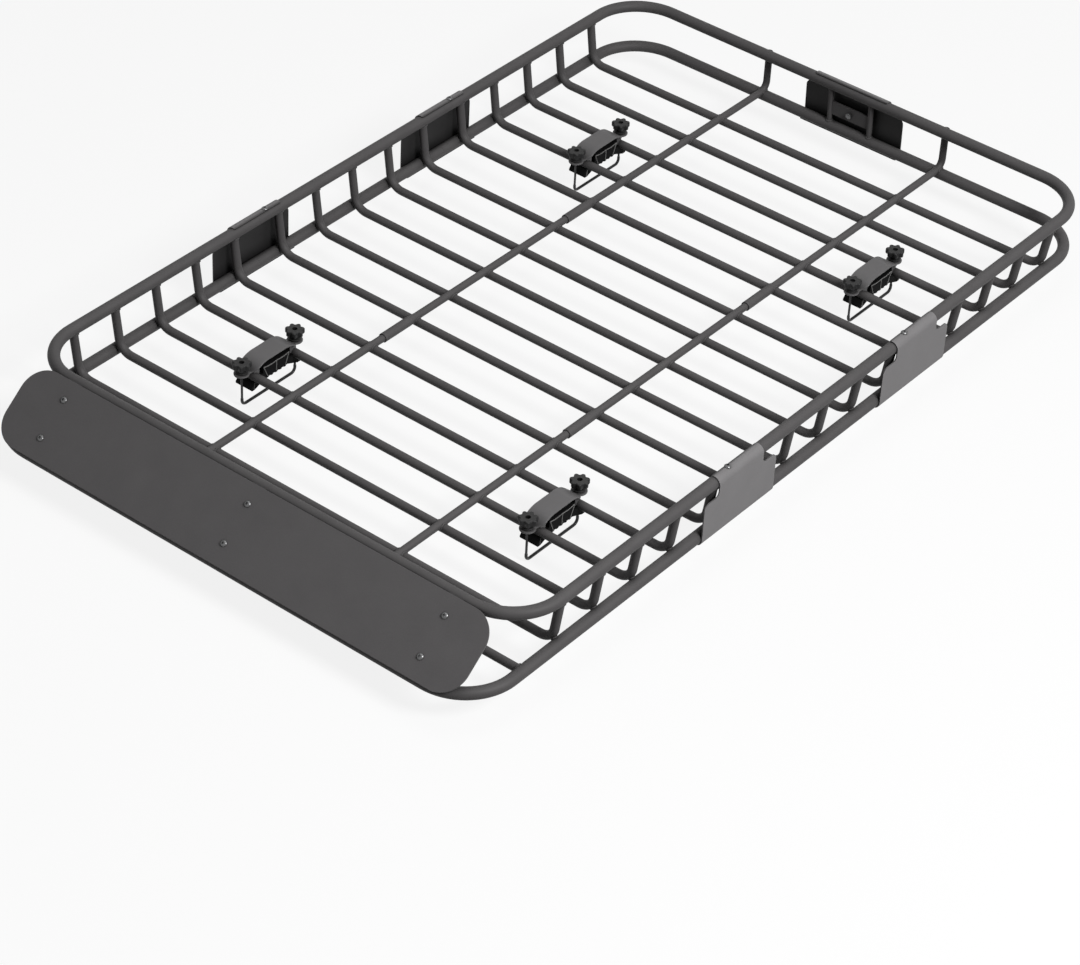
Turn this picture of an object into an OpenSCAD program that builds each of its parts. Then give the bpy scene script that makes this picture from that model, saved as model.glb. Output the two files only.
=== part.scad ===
// Roof cargo basket: two rail loops of round tube, U-bent cross bars, two long bars, cover plates over the
// bolted joints, a front fairing and four slide-along clamps with U-bolts and star knobs.
// X runs across the car, +Y to the rear, +Z up. The origin is the middle of the bounding box, at its foot.

/* [Tubes] */
// Outer diameter of the side rails
rail_d = 20; // [18:0.5:25]
// Outer diameter of the cross bars in the front and rear sections
cross_d = 14.5; // [12:0.5:16]
// Outer diameter of the cross bars in the middle section
mid_cross_d = 14; // [12:0.5:16]
// Outer diameter of the long bars
long_d = 12.6; // [11:0.2:14]
// Outer diameter of the expanded end of a long bar
sleeve_d = 16; // [15:0.5:18]
// Wall of every tube
tube_wall = 1.2; // [1:0.1:1.6]

/* [Basket] */
// Width between the centre lines of the side rails
rail_span = 970.6; // [860:1:1100]
// Height of the upper rail over the cross bars, centre to centre
upper_rail_z = 82.6; // [78:0.5:110]
// How far the lower rail lies below the cross bars, centre to centre
lower_rail_drop = 1.2; // [0:0.1:2]
// How far the middle cross bars lie below the others, centre to centre
mid_bar_drop = 1.4; // [0.5:0.1:2]
// Outward lean of the cross bar legs, in degrees
leg_lean = 7.8; // [5:0.1:10]
// Width of the faint ring that the bender leaves where a leg begins
bender_ring_w = 0.8; // [0.4:0.1:1.5]
// Height of that ring, on the diameter
bender_ring_h = 0.1; // [0.06:0.02:0.2]
// Centre-line radius of the front rail corners
front_corner_r = 88.8; // [60:0.1:90]
// Centre-line radius of the rear rail corners
rear_corner_r = 92; // [60:0.5:105]

/* [Cross bars] */
// Spacing of the cross bars
bar_pitch = 90.6; // [86:0.1:100]
// Cross bars in each of the three sections
bars_per_section = 5; // [5:1:7]
// Spacing of the two bars on either side of the front joint
front_joint_gap = 105.5; // [98:0.5:120]
// Spacing of the two bars on either side of the rear joint
rear_joint_gap = 98.3; // [90:0.1:110]
// From the foremost cross bar to the upper front rail
upper_front_reach = 92.8; // [92:0.1:130]
// From the foremost cross bar to the straight floor bar
floor_bar_reach = 80.8; // [70:0.1:88]
// How far the lower front rail stands ahead of the upper one
front_slope_run = 100.3; // [80:0.1:120]
// From the rearmost cross bar to the upper rear rail
upper_rear_reach = 119.2; // [110:0.1:140]
// How far the lower rear rail stands behind the upper one
rear_slope_run = 3.9; // [0:0.1:6]

/* [Long bars] */
// Distance of each long bar from the centre line
long_x = 187.5; // [150:0.5:220]
// Height of the long bars over the cross bars, centre to centre
long_rise = 5.4; // [4:0.1:6]
// Length of the expanded end, without its taper
sleeve_length = 62; // [50:1:75]
// Length of the taper from the expanded end down to the tube
taper_length = 20; // [12:1:25]
// From the rail joint forward to the mouth of the expanded end
mouth_lead = 26; // [20:1:30]
// How deep the next length of bar reaches into the expanded end
sleeve_insert = 45; // [30:1:48]
// Centre-line radius of the bend at the rear end
riser_bend_r = 18; // [16:0.5:20]
// How far the rising rear end stands behind the upper rear rail
riser_set = 13.9; // [13:0.1:15]

/* [Joiners] */
// Length of the spigot inside a rail joint
rail_joiner_length = 110; // [80:1:140]
// Length of the spigot inside a cross bar seam
bar_joiner_length = 60; // [40:1:80]

/* [Cover plates] */
// Sheet thickness of the cover plates
plate_t = 2; // [1.5:0.1:2.5]
// Width of a side cover plate
side_plate_w = 180; // [160:1:190]
// Width of its flange over the upper rail
side_flange_w = 110; // [100:1:120]
// Width of the rear cover plate
rear_plate_w = 204; // [180:1:230]
// Width of the rear plate's flange
rear_flange_w = 150; // [120:1:160]
// From the lower rail's centre up to the plate's shoulder
shoulder_rise = 65; // [60:0.5:68]
// Corner radius of the shoulders
shoulder_r = 11; // [6:0.5:14]
// Fillet radius between a shoulder and the flange
flange_fillet_r = 8; // [4:0.5:10]
// How far the flange wraps past the top of the rail, in degrees
flange_wrap = 24; // [10:1:40]
// How far the lip wraps past the bottom of the rail, in degrees
lip_wrap = 22; // [10:1:40]
// Distance of a side plate's screw from the plate's middle
plate_screw_offset = 21.7; // [18:0.1:30]
// Side plate centres, each measured rearward from its rail joint
plate_shift = 0.2; // [0:0.1:3]

/* [Rear posts] */
// Diameter of the two posts behind the rear plate
post_d = 10; // [8:0.5:12]
// Distance of each post from the centre line
post_x = 42; // [35:0.5:55]
// Height of the strap between the posts
strap_h = 26; // [20:1:32]
// Thickness of that strap
strap_t = 4; // [3:0.5:5]
// Height of the strap's middle over the cross bars
strap_z = 36; // [30:1:42]

/* [Fairing] */
// Width of the fairing
fairing_w = 918; // [700:1:918]
// Length of the fairing down its slope
fairing_h = 133; // [128:0.5:134]
// How far its top edge lies below the upper rail's centre, down the slope
fairing_set = 3; // [2:0.5:6]
// Corner radius of the fairing
fairing_corner_r = 45; // [20:1:60]
// Distance of the outer screw columns from the centre line
fairing_screw_x = 377.5; // [250:0.5:400]
// From the upper rail's centre down the slope to the upper screws
upper_screw_s = 34.3; // [30:0.1:45]
// From the upper rail's centre down the slope to the lower screws
lower_screw_s = 101.5; // [85:0.1:104]
// Width of the straps that carry the fairing
carrier_w = 26; // [20:1:32]
// Thickness of those straps
carrier_t = 3; // [2.5:0.1:4]

/* [Screws] */
// Shank diameter of the fairing and plate screws
screw_d = 6; // [5:0.5:6]
// Head diameter of those screws
screw_head_d = 11; // [10:0.5:12]
// Head height of those screws
screw_head_h = 3.3; // [3:0.1:4]
// Width across the flats of their nuts
nut_af = 10; // [9:0.5:11]
// Height of their nuts
nut_h = 5; // [4:0.5:6]
// Diameter over the corners of the socket in a head
socket_d = 4.6; // [4:0.1:5]
// Depth of that socket
socket_h = 2; // [1.5:0.1:2.2]
// How far a screw stands out of its nut
screw_tip = 1; // [0.5:0.1:2]
// How far a plate screw reaches past the wall of the rail
plate_screw_reach = 6; // [4:0.5:6]

/* [Clamps] */
// Distance of the left clamps from the centre line
left_clamp_x = 284; // [270:1:360]
// Distance of the right clamps from the centre line
right_clamp_x = 293; // [270:1:360]
// Width of a clamp along the cross bars
clamp_w = 37; // [34:0.5:40]
// Distance between the two legs of a U-bolt
leg_span = 123; // [123:0.5:126]
// Diameter of the U-bolt's rod
rod_d = 5; // [4.6:0.1:5.4]
// Diameter of its threaded legs
thread_d = 4; // [3.6:0.1:4.4]
// Centre-line radius of the U-bolt's bends
rod_bend_r = 9; // [7:0.5:11]
// Depth of the U-bolt's foot below the cross bars, centre to centre
foot_depth = 52.5; // [50:0.5:56]
// Length of the thick rod above the foot
thick_leg = 13; // [12:0.5:16]
// Length of each leg, from the foot's centre line to the tip
leg_length = 77; // [75:0.5:79]
// Height of the cover's crown over the cross bars
crown_z = 24; // [22:0.5:26]
// Radius of the cover's shoulders
cover_r = 45; // [42:0.5:48]
// Wall of the cover
cover_wall = 2.5; // [2:0.1:3]
// Thickness of the cover's ears
ear_t = 3; // [2.5:0.1:3.5]
// End radius of an ear
ear_r = 13; // [12:0.5:15]
// Depth of the pad's toes below the cross bars
toe_depth = 21; // [19:0.5:23]
// Depth of the pad's seat below the cross bars
seat_depth = 11.5; // [11:0.5:13]
// Half length of the pad's seat
seat_half = 26; // [22:0.5:30]
// Width of the ribs under the seat, and of the grooves between them
seat_rib_w = 5; // [4:0.1:6]
// Height of the ribs under the seat
seat_rib_h = 1.5; // [1:0.1:2]
// Height of a toe's upright end
toe_h = 3; // [2:0.1:4]
// Length of a toe's level foot
toe_foot = 6; // [4:0.5:8]
// Bevel at the tip of a toe
toe_bevel = 2; // [1:0.1:2.5]
// Distance of an outer line's foot from the middle of the pad
side_line_foot = 22; // [20:0.5:24]
// Width of the raised lines on the pad's sides
side_line_w = 1.6; // [1:0.1:2]
// How far those lines stand out
side_line_h = 1.2; // [0.8:0.1:1.3]
// Height of the pad's boss between the cross bars
boss_z = 12.5; // [11:0.5:13]
// How far the boss dips in its middle
boss_dip = 2; // [1:0.1:3]

/* [Knobs] */
// Number of lobes on a star knob
lobe_count = 7; // [5:1:9]
// Radius over the lobes
knob_r = 16; // [14:0.5:18]
// Radius of one lobe
lobe_r = 4; // [3:0.1:4.5]
// Height of the star
star_h = 10; // [8:0.5:12]
// How far the star's body reaches past the centres of the lobes
star_web = 0.6; // [0.4:0.1:1]
// Height of the bevels round the star
star_bevel_h = 2.5; // [2:0.1:3]
// Width of those bevels
star_bevel_w = 1.5; // [1:0.1:2]
// Height of the knob's neck
neck_h = 9; // [7:0.5:11]
// Diameter of the neck
neck_d = 17; // [15:0.5:19]
// Diameter of the collar at the foot of the neck
collar_d = 20; // [18:0.5:22]
// Height of the collar
collar_h = 2; // [1.5:0.1:3]
// Diameter of the recess in the knob's top
recess_d = 8.5; // [7:0.5:10]
// Depth of that recess
recess_h = 6; // [4:0.5:7]
// Outer diameter of the washer under a knob
washer_d = 14; // [12:0.5:16]
// Thickness of the washer
washer_t = 1; // [0.8:0.1:1.4]

/* [Clearances] */
// Gap at a welded joint, where the bead goes
weld_gap = 0.15; // [0.1:0.05:0.3]
// Gap between a cover plate or the fairing and its rails
plate_gap = 0.15; // [0.1:0.05:0.3]
// Radial gap of a spigot in its tube
spigot_gap = 0.1; // [0.05:0.05:0.2]
// Gap between butting tube ends
butt_gap = 0.2; // [0.1:0.1:0.5]
// Gap between pieces that lie on each other
seat_gap = 0.1; // [0.05:0.05:0.2]
// Gap between the clamps and the cross bars, and between the cover and the pad
clamp_gap = 0.2; // [0.15:0.05:0.3]
// Gap between a knob's collar and the cover's shoulder
shoulder_gap = 0.5; // [0.3:0.1:1]
// Gap between a toe's tip and the leg beside it
toe_gap = 1.5; // [1.2:0.1:2]
// How far the pad's sides lie inside the cover's
pad_inset = 1.5; // [1.4:0.1:2]
// Gap between the pad's boss and the cover's walls
boss_gap = 1.5; // [1:0.1:2]
// Radial gap of a screw in its hole
hole_gap = 0.3; // [0.2:0.05:0.5]
// Radial gap of a thread in its nut or knob
thread_gap = 0.06; // [0.05:0.01:0.1]

/* [Hidden] */
$fn = 48;
cut = 1;

rail_r = rail_d / 2;
rail_x = rail_span / 2;
lower_rail_z = -lower_rail_drop;

// Where the bars, the joints and the rails lie along the car
mid_half = (bars_per_section - 1) / 2 * bar_pitch;
front_joint_y = -mid_half - front_joint_gap / 2;
rear_joint_y = mid_half + rear_joint_gap / 2;
front_bar_ys = [for (i = [0 : bars_per_section - 1]) front_joint_y - front_joint_gap / 2 - i * bar_pitch];
mid_bar_ys = [for (i = [0 : bars_per_section - 1]) i * bar_pitch - mid_half];
rear_bar_ys = [for (i = [0 : bars_per_section - 1]) rear_joint_y + rear_joint_gap / 2 + i * bar_pitch];
foremost_bar_y = front_bar_ys[bars_per_section - 1];
rearmost_bar_y = rear_bar_ys[bars_per_section - 1];
floor_bar_y = foremost_bar_y - floor_bar_reach;
upper_front_y = foremost_bar_y - upper_front_reach;
lower_front_y = upper_front_y - front_slope_run;
upper_rear_y = rearmost_bar_y + upper_rear_reach;
lower_rear_y = upper_rear_y + rear_slope_run;

// The slope between the two front rails, and between the two rear ones
rail_rise = upper_rail_z - lower_rail_z;
front_slope_length = norm([front_slope_run, rail_rise]);
front_slope_angle = atan2(rail_rise, front_slope_run);
rear_slope_length = norm([rear_slope_run, rail_rise]);
rear_slope_angle = atan2(rear_slope_run, rail_rise);

// Sheet wrapped round a rail
wrap_ri = rail_r + plate_gap;
wrap_ro = wrap_ri + plate_t;
side_plates = [
    [1, front_joint_y + plate_shift, -1],
    [-1, front_joint_y + plate_shift, 1],
    [1, rear_joint_y + plate_shift, -1],
    [-1, rear_joint_y + plate_shift, 1],
];
plate_seat_z = upper_rail_z + wrap_ro + seat_gap;

// Screws: length under the head of each kind, and the holes they pass
hole_r = screw_d / 2 + hole_gap;
plate_screw_length = plate_t + plate_gap + tube_wall + plate_screw_reach;
fairing_inner = rail_r + plate_gap;
carrier_top = fairing_inner - seat_gap;
nut_top = carrier_top - carrier_t - seat_gap;
fairing_screw_length = plate_t + carrier_t + nut_h + 4 * seat_gap + screw_tip;
rear_screw_length = wrap_ro + strap_t / 2 + nut_h + 3 * seat_gap + screw_tip;
fairing_screws = [for (x = [-1, 0, 1]) for (s = [upper_screw_s, lower_screw_s])
    [x * fairing_screw_x, front_slope_length - s]];
rear_screw_s = (strap_z - lower_rail_z) / cos(rear_slope_angle);

// Clamps
bar_clear_r = cross_d / 2 + clamp_gap;
bar_half = bar_pitch / 2;
leg_half = leg_span / 2;
ear_z = bar_clear_r;
ear_top = ear_z + ear_t;
washer_z = ear_top + seat_gap;
knob_z = washer_z + washer_t + seat_gap;
knob_h = neck_h + star_h;
shoulder_drop = crown_z - ear_top;
shoulder_run = sqrt(cover_r * cover_r - (cover_r - shoulder_drop) * (cover_r - shoulder_drop));
cover_half = leg_half - collar_d / 2 - shoulder_gap;
crown_half = cover_half - shoulder_run;
saddle_in = bar_half - bar_clear_r - cover_wall;
boss_half = saddle_in - boss_gap;
pad_w = clamp_w - 2 * pad_inset;
toe_tip = leg_half - thread_d / 2 - toe_gap;
front_clamp_y = (front_bar_ys[1] + front_bar_ys[2]) / 2;
rear_clamp_y = (rear_bar_ys[1] + rear_bar_ys[2]) / 2;
clamp_spots = [
    [-left_clamp_x, front_clamp_y],
    [right_clamp_x, front_clamp_y],
    [-left_clamp_x, rear_clamp_y],
    [right_clamp_x, rear_clamp_y],
];

// The outermost points, which put the origin in the middle of the box
fairing_foot = fairing_set + fairing_h - front_slope_length;
front_end = lower_front_y - fairing_foot * cos(front_slope_angle)
    - (fairing_inner + plate_t) * sin(front_slope_angle);
rear_end = lower_rear_y + wrap_ro;
riser_end = upper_rear_y + riser_set + long_d / 2;
origin_y = (front_end + max(rear_end, riser_end, rear_screw_end())) / 2;
origin_z = -foot_depth - rod_d / 2;

// Radius of the bend that brings a cross bar to a weld gap from the lower rail
function bend_k() = tan((90 - leg_lean) / 2);
function corner_x(drop) = rail_x - (upper_rail_z + drop) * tan(leg_lean);
function bend_r(d, drop) =
    let (a = rail_x - corner_x(drop), b = lower_rail_drop - drop, t = rail_r + d / 2 + weld_gap,
        k = bend_k(), p = a * k + b - t)
    (-p + sqrt(p * p - k * k * (a * a + b * b - t * t))) / (k * k);

// How far back the head of the rear plate's screw reaches
function rear_screw_end() = lower_rear_y - rear_screw_s * sin(rear_slope_angle)
    + (wrap_ro + seat_gap + screw_head_h) * cos(rear_slope_angle) + screw_head_d / 2 * sin(rear_slope_angle);

// ---------- shared shapes ----------

module placed() {
    translate([0, -origin_y, -origin_z]) children();
}

module ring(d) {
    difference() {
        circle(d = d);
        circle(d = d - 2 * tube_wall);
    }
}

// A straight tube along +Z
module tube(d, length) {
    linear_extrude(length) ring(d);
}

// A straight tube along +Y or +X
module tube_y(d, length) {
    rotate([-90, 0, 0]) tube(d, length);
}

module tube_x(d, length) {
    rotate([0, 90, 0]) tube(d, length);
}

// A tube bent round +Z, from +X by the angle
module bent_tube(d, r, angle) {
    rotate_extrude(angle = angle) translate([r, 0]) ring(d);
}

// Rods along X and Y that cut the saddles at welded joints
module rod_x(r, length) {
    rotate([0, 90, 0]) cylinder(r = r, h = length, center = true);
}

module rod_y(r, length) {
    rotate([90, 0, 0]) cylinder(r = r, h = length, center = true);
}

// A button-head socket screw, head up, its seat at z = 0
module button_screw(length) {
    dome_r = (screw_head_d * screw_head_d / 4 + screw_head_h * screw_head_h) / (2 * screw_head_h);
    difference() {
        intersection() {
            translate([0, 0, screw_head_h - dome_r]) sphere(r = dome_r);
            cylinder(d = screw_head_d, h = screw_head_h + cut);
        }
        translate([0, 0, screw_head_h - socket_h]) cylinder(d = socket_d, h = socket_h + cut, $fn = 6);
    }
    translate([0, 0, -length]) cylinder(d = screw_d, h = length);
}

module nut() {
    difference() {
        cylinder(d = nut_af / cos(30), h = nut_h, $fn = 6);
        translate([0, 0, -cut]) cylinder(r = screw_d / 2 + thread_gap, h = nut_h + 2 * cut);
    }
}

// ---------- rails ----------

// The U-shaped end section of a rail loop, from a joint rearward
module rail_u(joint_y, end_y, corner_r) {
    side_length = end_y - corner_r - joint_y - butt_gap / 2;
    for (s = [-1, 1]) translate([s * rail_x, joint_y + butt_gap / 2, 0]) tube_y(rail_d, side_length);
    for (s = [0, 1]) translate([(1 - 2 * s) * (rail_x - corner_r), end_y - corner_r, 0])
        rotate([0, 0, 90 * s]) bent_tube(rail_d, corner_r, 90);
    translate([corner_r - rail_x, end_y, 0]) tube_x(rail_d, rail_span - 2 * corner_r);
}

module rail_mid(side) {
    translate([side * rail_x, front_joint_y + butt_gap / 2, 0])
        tube_y(rail_d, rear_joint_y - front_joint_y - butt_gap);
}

// The holes that the side plates' screws pass through
module plate_screw_holes() {
    for (p = side_plates) translate([p[0] * rail_x, p[1] + p[2] * plate_screw_offset, upper_rail_z])
        cylinder(r = hole_r, h = rail_r + cut);
}

module upper_rail_front() {
    color([0.3, 0.3, 0.31]) placed() difference() {
        translate([0, 0, upper_rail_z]) mirror([0, 1, 0]) rail_u(-front_joint_y, -upper_front_y, front_corner_r);
        plate_screw_holes();
    }
}

module upper_rail_rear() {
    color([0.3, 0.3, 0.31]) placed() difference() {
        translate([0, 0, upper_rail_z]) rail_u(rear_joint_y, upper_rear_y, rear_corner_r);
        plate_screw_holes();
    }
}

module upper_rail_mid(side) {
    color([0.3, 0.3, 0.31]) placed() difference() {
        translate([0, 0, upper_rail_z]) rail_mid(side);
        plate_screw_holes();
    }
}

module lower_rail_front() {
    color([0.3, 0.3, 0.31]) placed() translate([0, 0, lower_rail_z]) mirror([0, 1, 0])
        rail_u(-front_joint_y, -lower_front_y, front_corner_r);
}

module lower_rail_rear() {
    color([0.3, 0.3, 0.31]) placed() translate([0, 0, lower_rail_z])
        rail_u(rear_joint_y, lower_rear_y, rear_corner_r);
}

module lower_rail_mid(side) {
    color([0.3, 0.3, 0.31]) placed() translate([0, 0, lower_rail_z]) rail_mid(side);
}

// Spigots inside the rail joints
module rail_joiners() {
    spigot_d = rail_d - 2 * tube_wall - 2 * spigot_gap;
    color([0.55, 0.55, 0.56]) placed() difference() {
        for (s = [-1, 1]) for (y = [front_joint_y, rear_joint_y]) for (z = [lower_rail_z, upper_rail_z])
            translate([s * rail_x, y - rail_joiner_length / 2, z]) tube_y(spigot_d, rail_joiner_length);
        plate_screw_holes();
    }
}

// ---------- cross bars ----------

// One side of a cross bar: its bend and its leg, in the XZ plane, and the faint ring that the bender leaves
module bar_side(d, drop) {
    r = bend_r(d, drop);
    centre = [corner_x(drop) - bend_k() * r, 0, r - drop];
    straight = (upper_rail_z - centre[2] + r * sin(leg_lean)) / cos(leg_lean);
    translate(centre) {
        rotate([90, 0, 0]) rotate([0, 0, -90]) bent_tube(d, r, 90 - leg_lean);
        rotate([0, leg_lean, 0]) translate([r, 0, bender_ring_w / 4]) {
            tube(d, straight - bender_ring_w / 4);
            translate([0, 0, -bender_ring_w / 2]) difference() {
                cylinder(d = d + bender_ring_h, h = bender_ring_w);
                translate([0, 0, -cut]) cylinder(d = d - 2 * tube_wall - bender_ring_h, h = bender_ring_w + 2 * cut);
            }
        }
    }
}

// The floor of a cross bar between two places
module bar_floor(d, drop, from, to) {
    translate([from, 0, -drop]) tube_x(d, to - from);
}

module rail_cut(d) {
    for (s = [-1, 1]) translate([s * rail_x, 0, upper_rail_z]) rod_y(rail_r + weld_gap, 2 * d);
}

// A whole U-bent cross bar, its tops coped to the upper rail
module cross_bar() {
    reach = corner_x(0) - bend_k() * bend_r(cross_d, 0);
    difference() {
        union() {
            bar_floor(cross_d, 0, -reach, reach);
            bar_side(cross_d, 0);
            mirror([1, 0, 0]) bar_side(cross_d, 0);
        }
        rail_cut(cross_d);
    }
}

// One half of a middle cross bar, on the +X side
module half_bar() {
    reach = corner_x(mid_bar_drop) - bend_k() * bend_r(mid_cross_d, mid_bar_drop);
    difference() {
        union() {
            bar_floor(mid_cross_d, mid_bar_drop, butt_gap / 2, reach);
            bar_side(mid_cross_d, mid_bar_drop);
        }
        rail_cut(mid_cross_d);
    }
}

module cross_bars(ys) {
    color([0.31, 0.31, 0.32]) placed() for (y = ys) translate([0, y, 0]) cross_bar();
}

module cross_bars_mid(side) {
    color([0.31, 0.31, 0.32]) placed() for (y = mid_bar_ys) translate([0, y, 0])
        mirror([(1 - side) / 2, 0, 0]) half_bar();
}

// Spigots inside the seams of the middle cross bars
module cross_bar_joiners() {
    spigot_d = mid_cross_d - 2 * tube_wall - 2 * spigot_gap;
    color([0.55, 0.55, 0.56]) placed() for (y = mid_bar_ys)
        translate([-bar_joiner_length / 2, y, -mid_bar_drop]) tube_x(spigot_d, bar_joiner_length);
}

// The straight bar at the front of the floor, coped between the lower rails
module front_floor_bar() {
    color([0.31, 0.31, 0.32]) placed() difference() {
        translate([-rail_x, floor_bar_y, lower_rail_z]) tube_x(mid_cross_d, rail_span);
        for (s = [-1, 1]) translate([s * rail_x, floor_bar_y, lower_rail_z]) rod_y(rail_r + weld_gap, 2 * rail_d);
    }
}

// ---------- long bars ----------

// A long bar along +Y from 0, with or without an expanded end at its start
module long_tube(length, has_sleeve) {
    r = long_d / 2;
    w = tube_wall;
    head = has_sleeve ? sleeve_d / 2 : r;
    level = sleeve_length;
    end = sleeve_length + taper_length;
    rotate([-90, 0, 0]) rotate_extrude()
        polygon([[head - w, 0], [head, 0], [head, level], [r, end], [r, length], [r - w, length], [r - w, end],
            [head - w, level]]);
}

// What the cross bars take out of a long bar that lies over them
module bar_notches(ys, d, drop) {
    for (y = ys) translate([0, y, -drop]) rod_x(d / 2 + weld_gap, 3 * sleeve_d);
}

module long_bar_front(side) {
    end_y = front_joint_y - mouth_lead + sleeve_insert;
    color([0.31, 0.31, 0.32]) placed() translate([side * long_x, 0, 0]) difference() {
        translate([0, lower_front_y, long_rise]) long_tube(end_y - lower_front_y, false);
        bar_notches(front_bar_ys, cross_d, 0);
        translate([0, floor_bar_y, lower_rail_z]) rod_x(mid_cross_d / 2 + weld_gap, 3 * sleeve_d);
        translate([0, lower_front_y, lower_rail_z]) rod_x(rail_r + weld_gap, 3 * sleeve_d);
        translate([0, lower_front_y - rail_r, 0]) cube([3 * sleeve_d, 2 * rail_r, 6 * rail_r], center = true);
    }
}

module long_bar_mid(side) {
    start_y = front_joint_y - mouth_lead;
    end_y = rear_joint_y - mouth_lead + sleeve_insert;
    color([0.31, 0.31, 0.32]) placed() translate([side * long_x, 0, 0]) difference() {
        translate([0, start_y, long_rise]) long_tube(end_y - start_y, true);
        bar_notches(mid_bar_ys, mid_cross_d, mid_bar_drop);
    }
}

module long_bar_rear(side) {
    start_y = rear_joint_y - mouth_lead;
    riser_y = upper_rear_y + riser_set;
    bend_y = riser_y - riser_bend_r;
    bend_z = long_rise + riser_bend_r;
    color([0.31, 0.31, 0.32]) placed() translate([side * long_x, 0, 0]) difference() {
        union() {
            translate([0, start_y, long_rise]) long_tube(bend_y - start_y, true);
            translate([0, bend_y, bend_z]) rotate([90, 0, 90]) rotate([0, 0, -90])
                bent_tube(long_d, riser_bend_r, 90);
            translate([0, riser_y, bend_z]) tube(long_d, upper_rail_z - bend_z);
        }
        bar_notches(rear_bar_ys, cross_d, 0);
        translate([0, lower_rear_y, lower_rail_z]) rod_x(rail_r + weld_gap, 3 * sleeve_d);
        translate([0, upper_rear_y, upper_rail_z]) rod_x(rail_r + weld_gap, 3 * sleeve_d);
    }
}

// ---------- cover plates ----------

// The flat face of a cover plate, width along X and height along Y
module plate_outline(rise, body_w, flange_w) {
    level = shoulder_rise - shoulder_r;
    translate([-body_w / 2, 0]) square([body_w, level]);
    translate([shoulder_r - body_w / 2, level]) square([body_w - 2 * shoulder_r, shoulder_r]);
    for (s = [-1, 1]) translate([s * (body_w / 2 - shoulder_r), level]) circle(r = shoulder_r);
    translate([-flange_w / 2, shoulder_rise]) square([flange_w, rise - shoulder_rise]);
    for (s = [-1, 1]) translate([s * flange_w / 2, shoulder_rise]) difference() {
        translate([min(0, s * flange_fillet_r), 0]) square(flange_fillet_r);
        translate([s * flange_fillet_r, flange_fillet_r]) circle(r = flange_fillet_r);
    }
}

// Sheet wrapped round a rail, from the outside (+X) by the angle
module wrap(width, angle) {
    rotate([90, 0, 0]) rotate_extrude(angle = angle) translate([wrap_ri, -width / 2]) square([plate_t, width]);
}

// A plate that hooks over the upper rail and under the lower one; the lower rail's centre is the origin
module cover_plate(rise, body_w, flange_w) {
    translate([wrap_ri, 0, 0]) rotate([90, 0, 90]) linear_extrude(plate_t) plate_outline(rise, body_w, flange_w);
    translate([0, 0, rise]) wrap(flange_w, 90 + flange_wrap);
    mirror([0, 0, 1]) wrap(body_w, 90 + lip_wrap);
}

module side_plate(spec) {
    color([0.34, 0.34, 0.35]) placed() translate([spec[0] * rail_x, spec[1], lower_rail_z])
        mirror([(1 - spec[0]) / 2, 0, 0]) difference() {
            cover_plate(rail_rise, side_plate_w, side_flange_w);
            translate([0, spec[2] * plate_screw_offset, rail_rise]) cylinder(r = hole_r, h = wrap_ro + cut);
        }
}

module side_plate_screws() {
    color([0.2, 0.2, 0.21]) placed() for (p = side_plates)
        translate([p[0] * rail_x, p[1] + p[2] * plate_screw_offset, plate_seat_z])
            button_screw(plate_screw_length);
}

// The frame of the rear plate: +X points out of the rear, +Z up the slope between the rear rails
module at_rear() {
    translate([0, lower_rear_y, lower_rail_z]) rotate([rear_slope_angle, 0, 0]) rotate([0, 0, 90]) children();
}

module rear_plate() {
    color([0.34, 0.34, 0.35]) placed() at_rear() difference() {
        cover_plate(rear_slope_length, rear_plate_w, rear_flange_w);
        translate([wrap_ri - cut, 0, rear_screw_s]) rotate([0, 90, 0]) cylinder(r = hole_r, h = plate_t + 2 * cut);
    }
}

// Two posts between the rear rails, coped to both
module rear_posts() {
    color([0.31, 0.31, 0.32]) placed() at_rear() difference() {
        for (s = [-1, 1]) translate([0, s * post_x, 0]) cylinder(d = post_d, h = rear_slope_length);
        for (z = [0, rear_slope_length]) translate([0, 0, z]) rod_y(rail_r + weld_gap, 4 * post_x);
    }
}

// The strap between the posts that the rear plate is screwed to
module rear_strap() {
    color([0.31, 0.31, 0.32]) placed() at_rear() difference() {
        translate([-strap_t / 2, -post_x, rear_screw_s - strap_h / 2]) cube([strap_t, 2 * post_x, strap_h]);
        for (s = [-1, 1]) translate([0, s * post_x, 0]) cylinder(d = post_d + 2 * weld_gap, h = rear_slope_length);
        translate([0, 0, rear_screw_s]) rod_x(hole_r, 2 * strap_t);
    }
}

module rear_plate_screw() {
    color([0.2, 0.2, 0.21]) placed() at_rear() translate([wrap_ro + seat_gap, 0, rear_screw_s])
        rotate([0, 90, 0]) button_screw(rear_screw_length);
}

module rear_plate_nut() {
    color([0.2, 0.2, 0.21]) placed() at_rear() translate([-strap_t / 2 - seat_gap, 0, rear_screw_s])
        rotate([0, -90, 0]) nut();
}

// ---------- fairing ----------

// The frame of the fairing: +Y up the slope from the lower front rail, +Z outward
module on_slope() {
    translate([0, lower_front_y, lower_rail_z]) rotate([front_slope_angle, 0, 0]) children();
}

module fairing_outline() {
    inner_w = fairing_w / 2 - fairing_corner_r;
    inner_h = fairing_h - 2 * fairing_corner_r;
    translate([-fairing_w / 2, fairing_corner_r]) square([fairing_w, inner_h]);
    for (y = [0, fairing_h - fairing_corner_r]) translate([-inner_w, y]) square([2 * inner_w, fairing_corner_r]);
    for (x = [-inner_w, inner_w]) for (y = [fairing_corner_r, fairing_corner_r + inner_h])
        translate([x, y]) circle(r = fairing_corner_r);
}

module fairing_holes(r) {
    for (p = fairing_screws) translate([p[0], p[1], nut_top - nut_h]) cylinder(r = r, h = 3 * rail_r);
}

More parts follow.
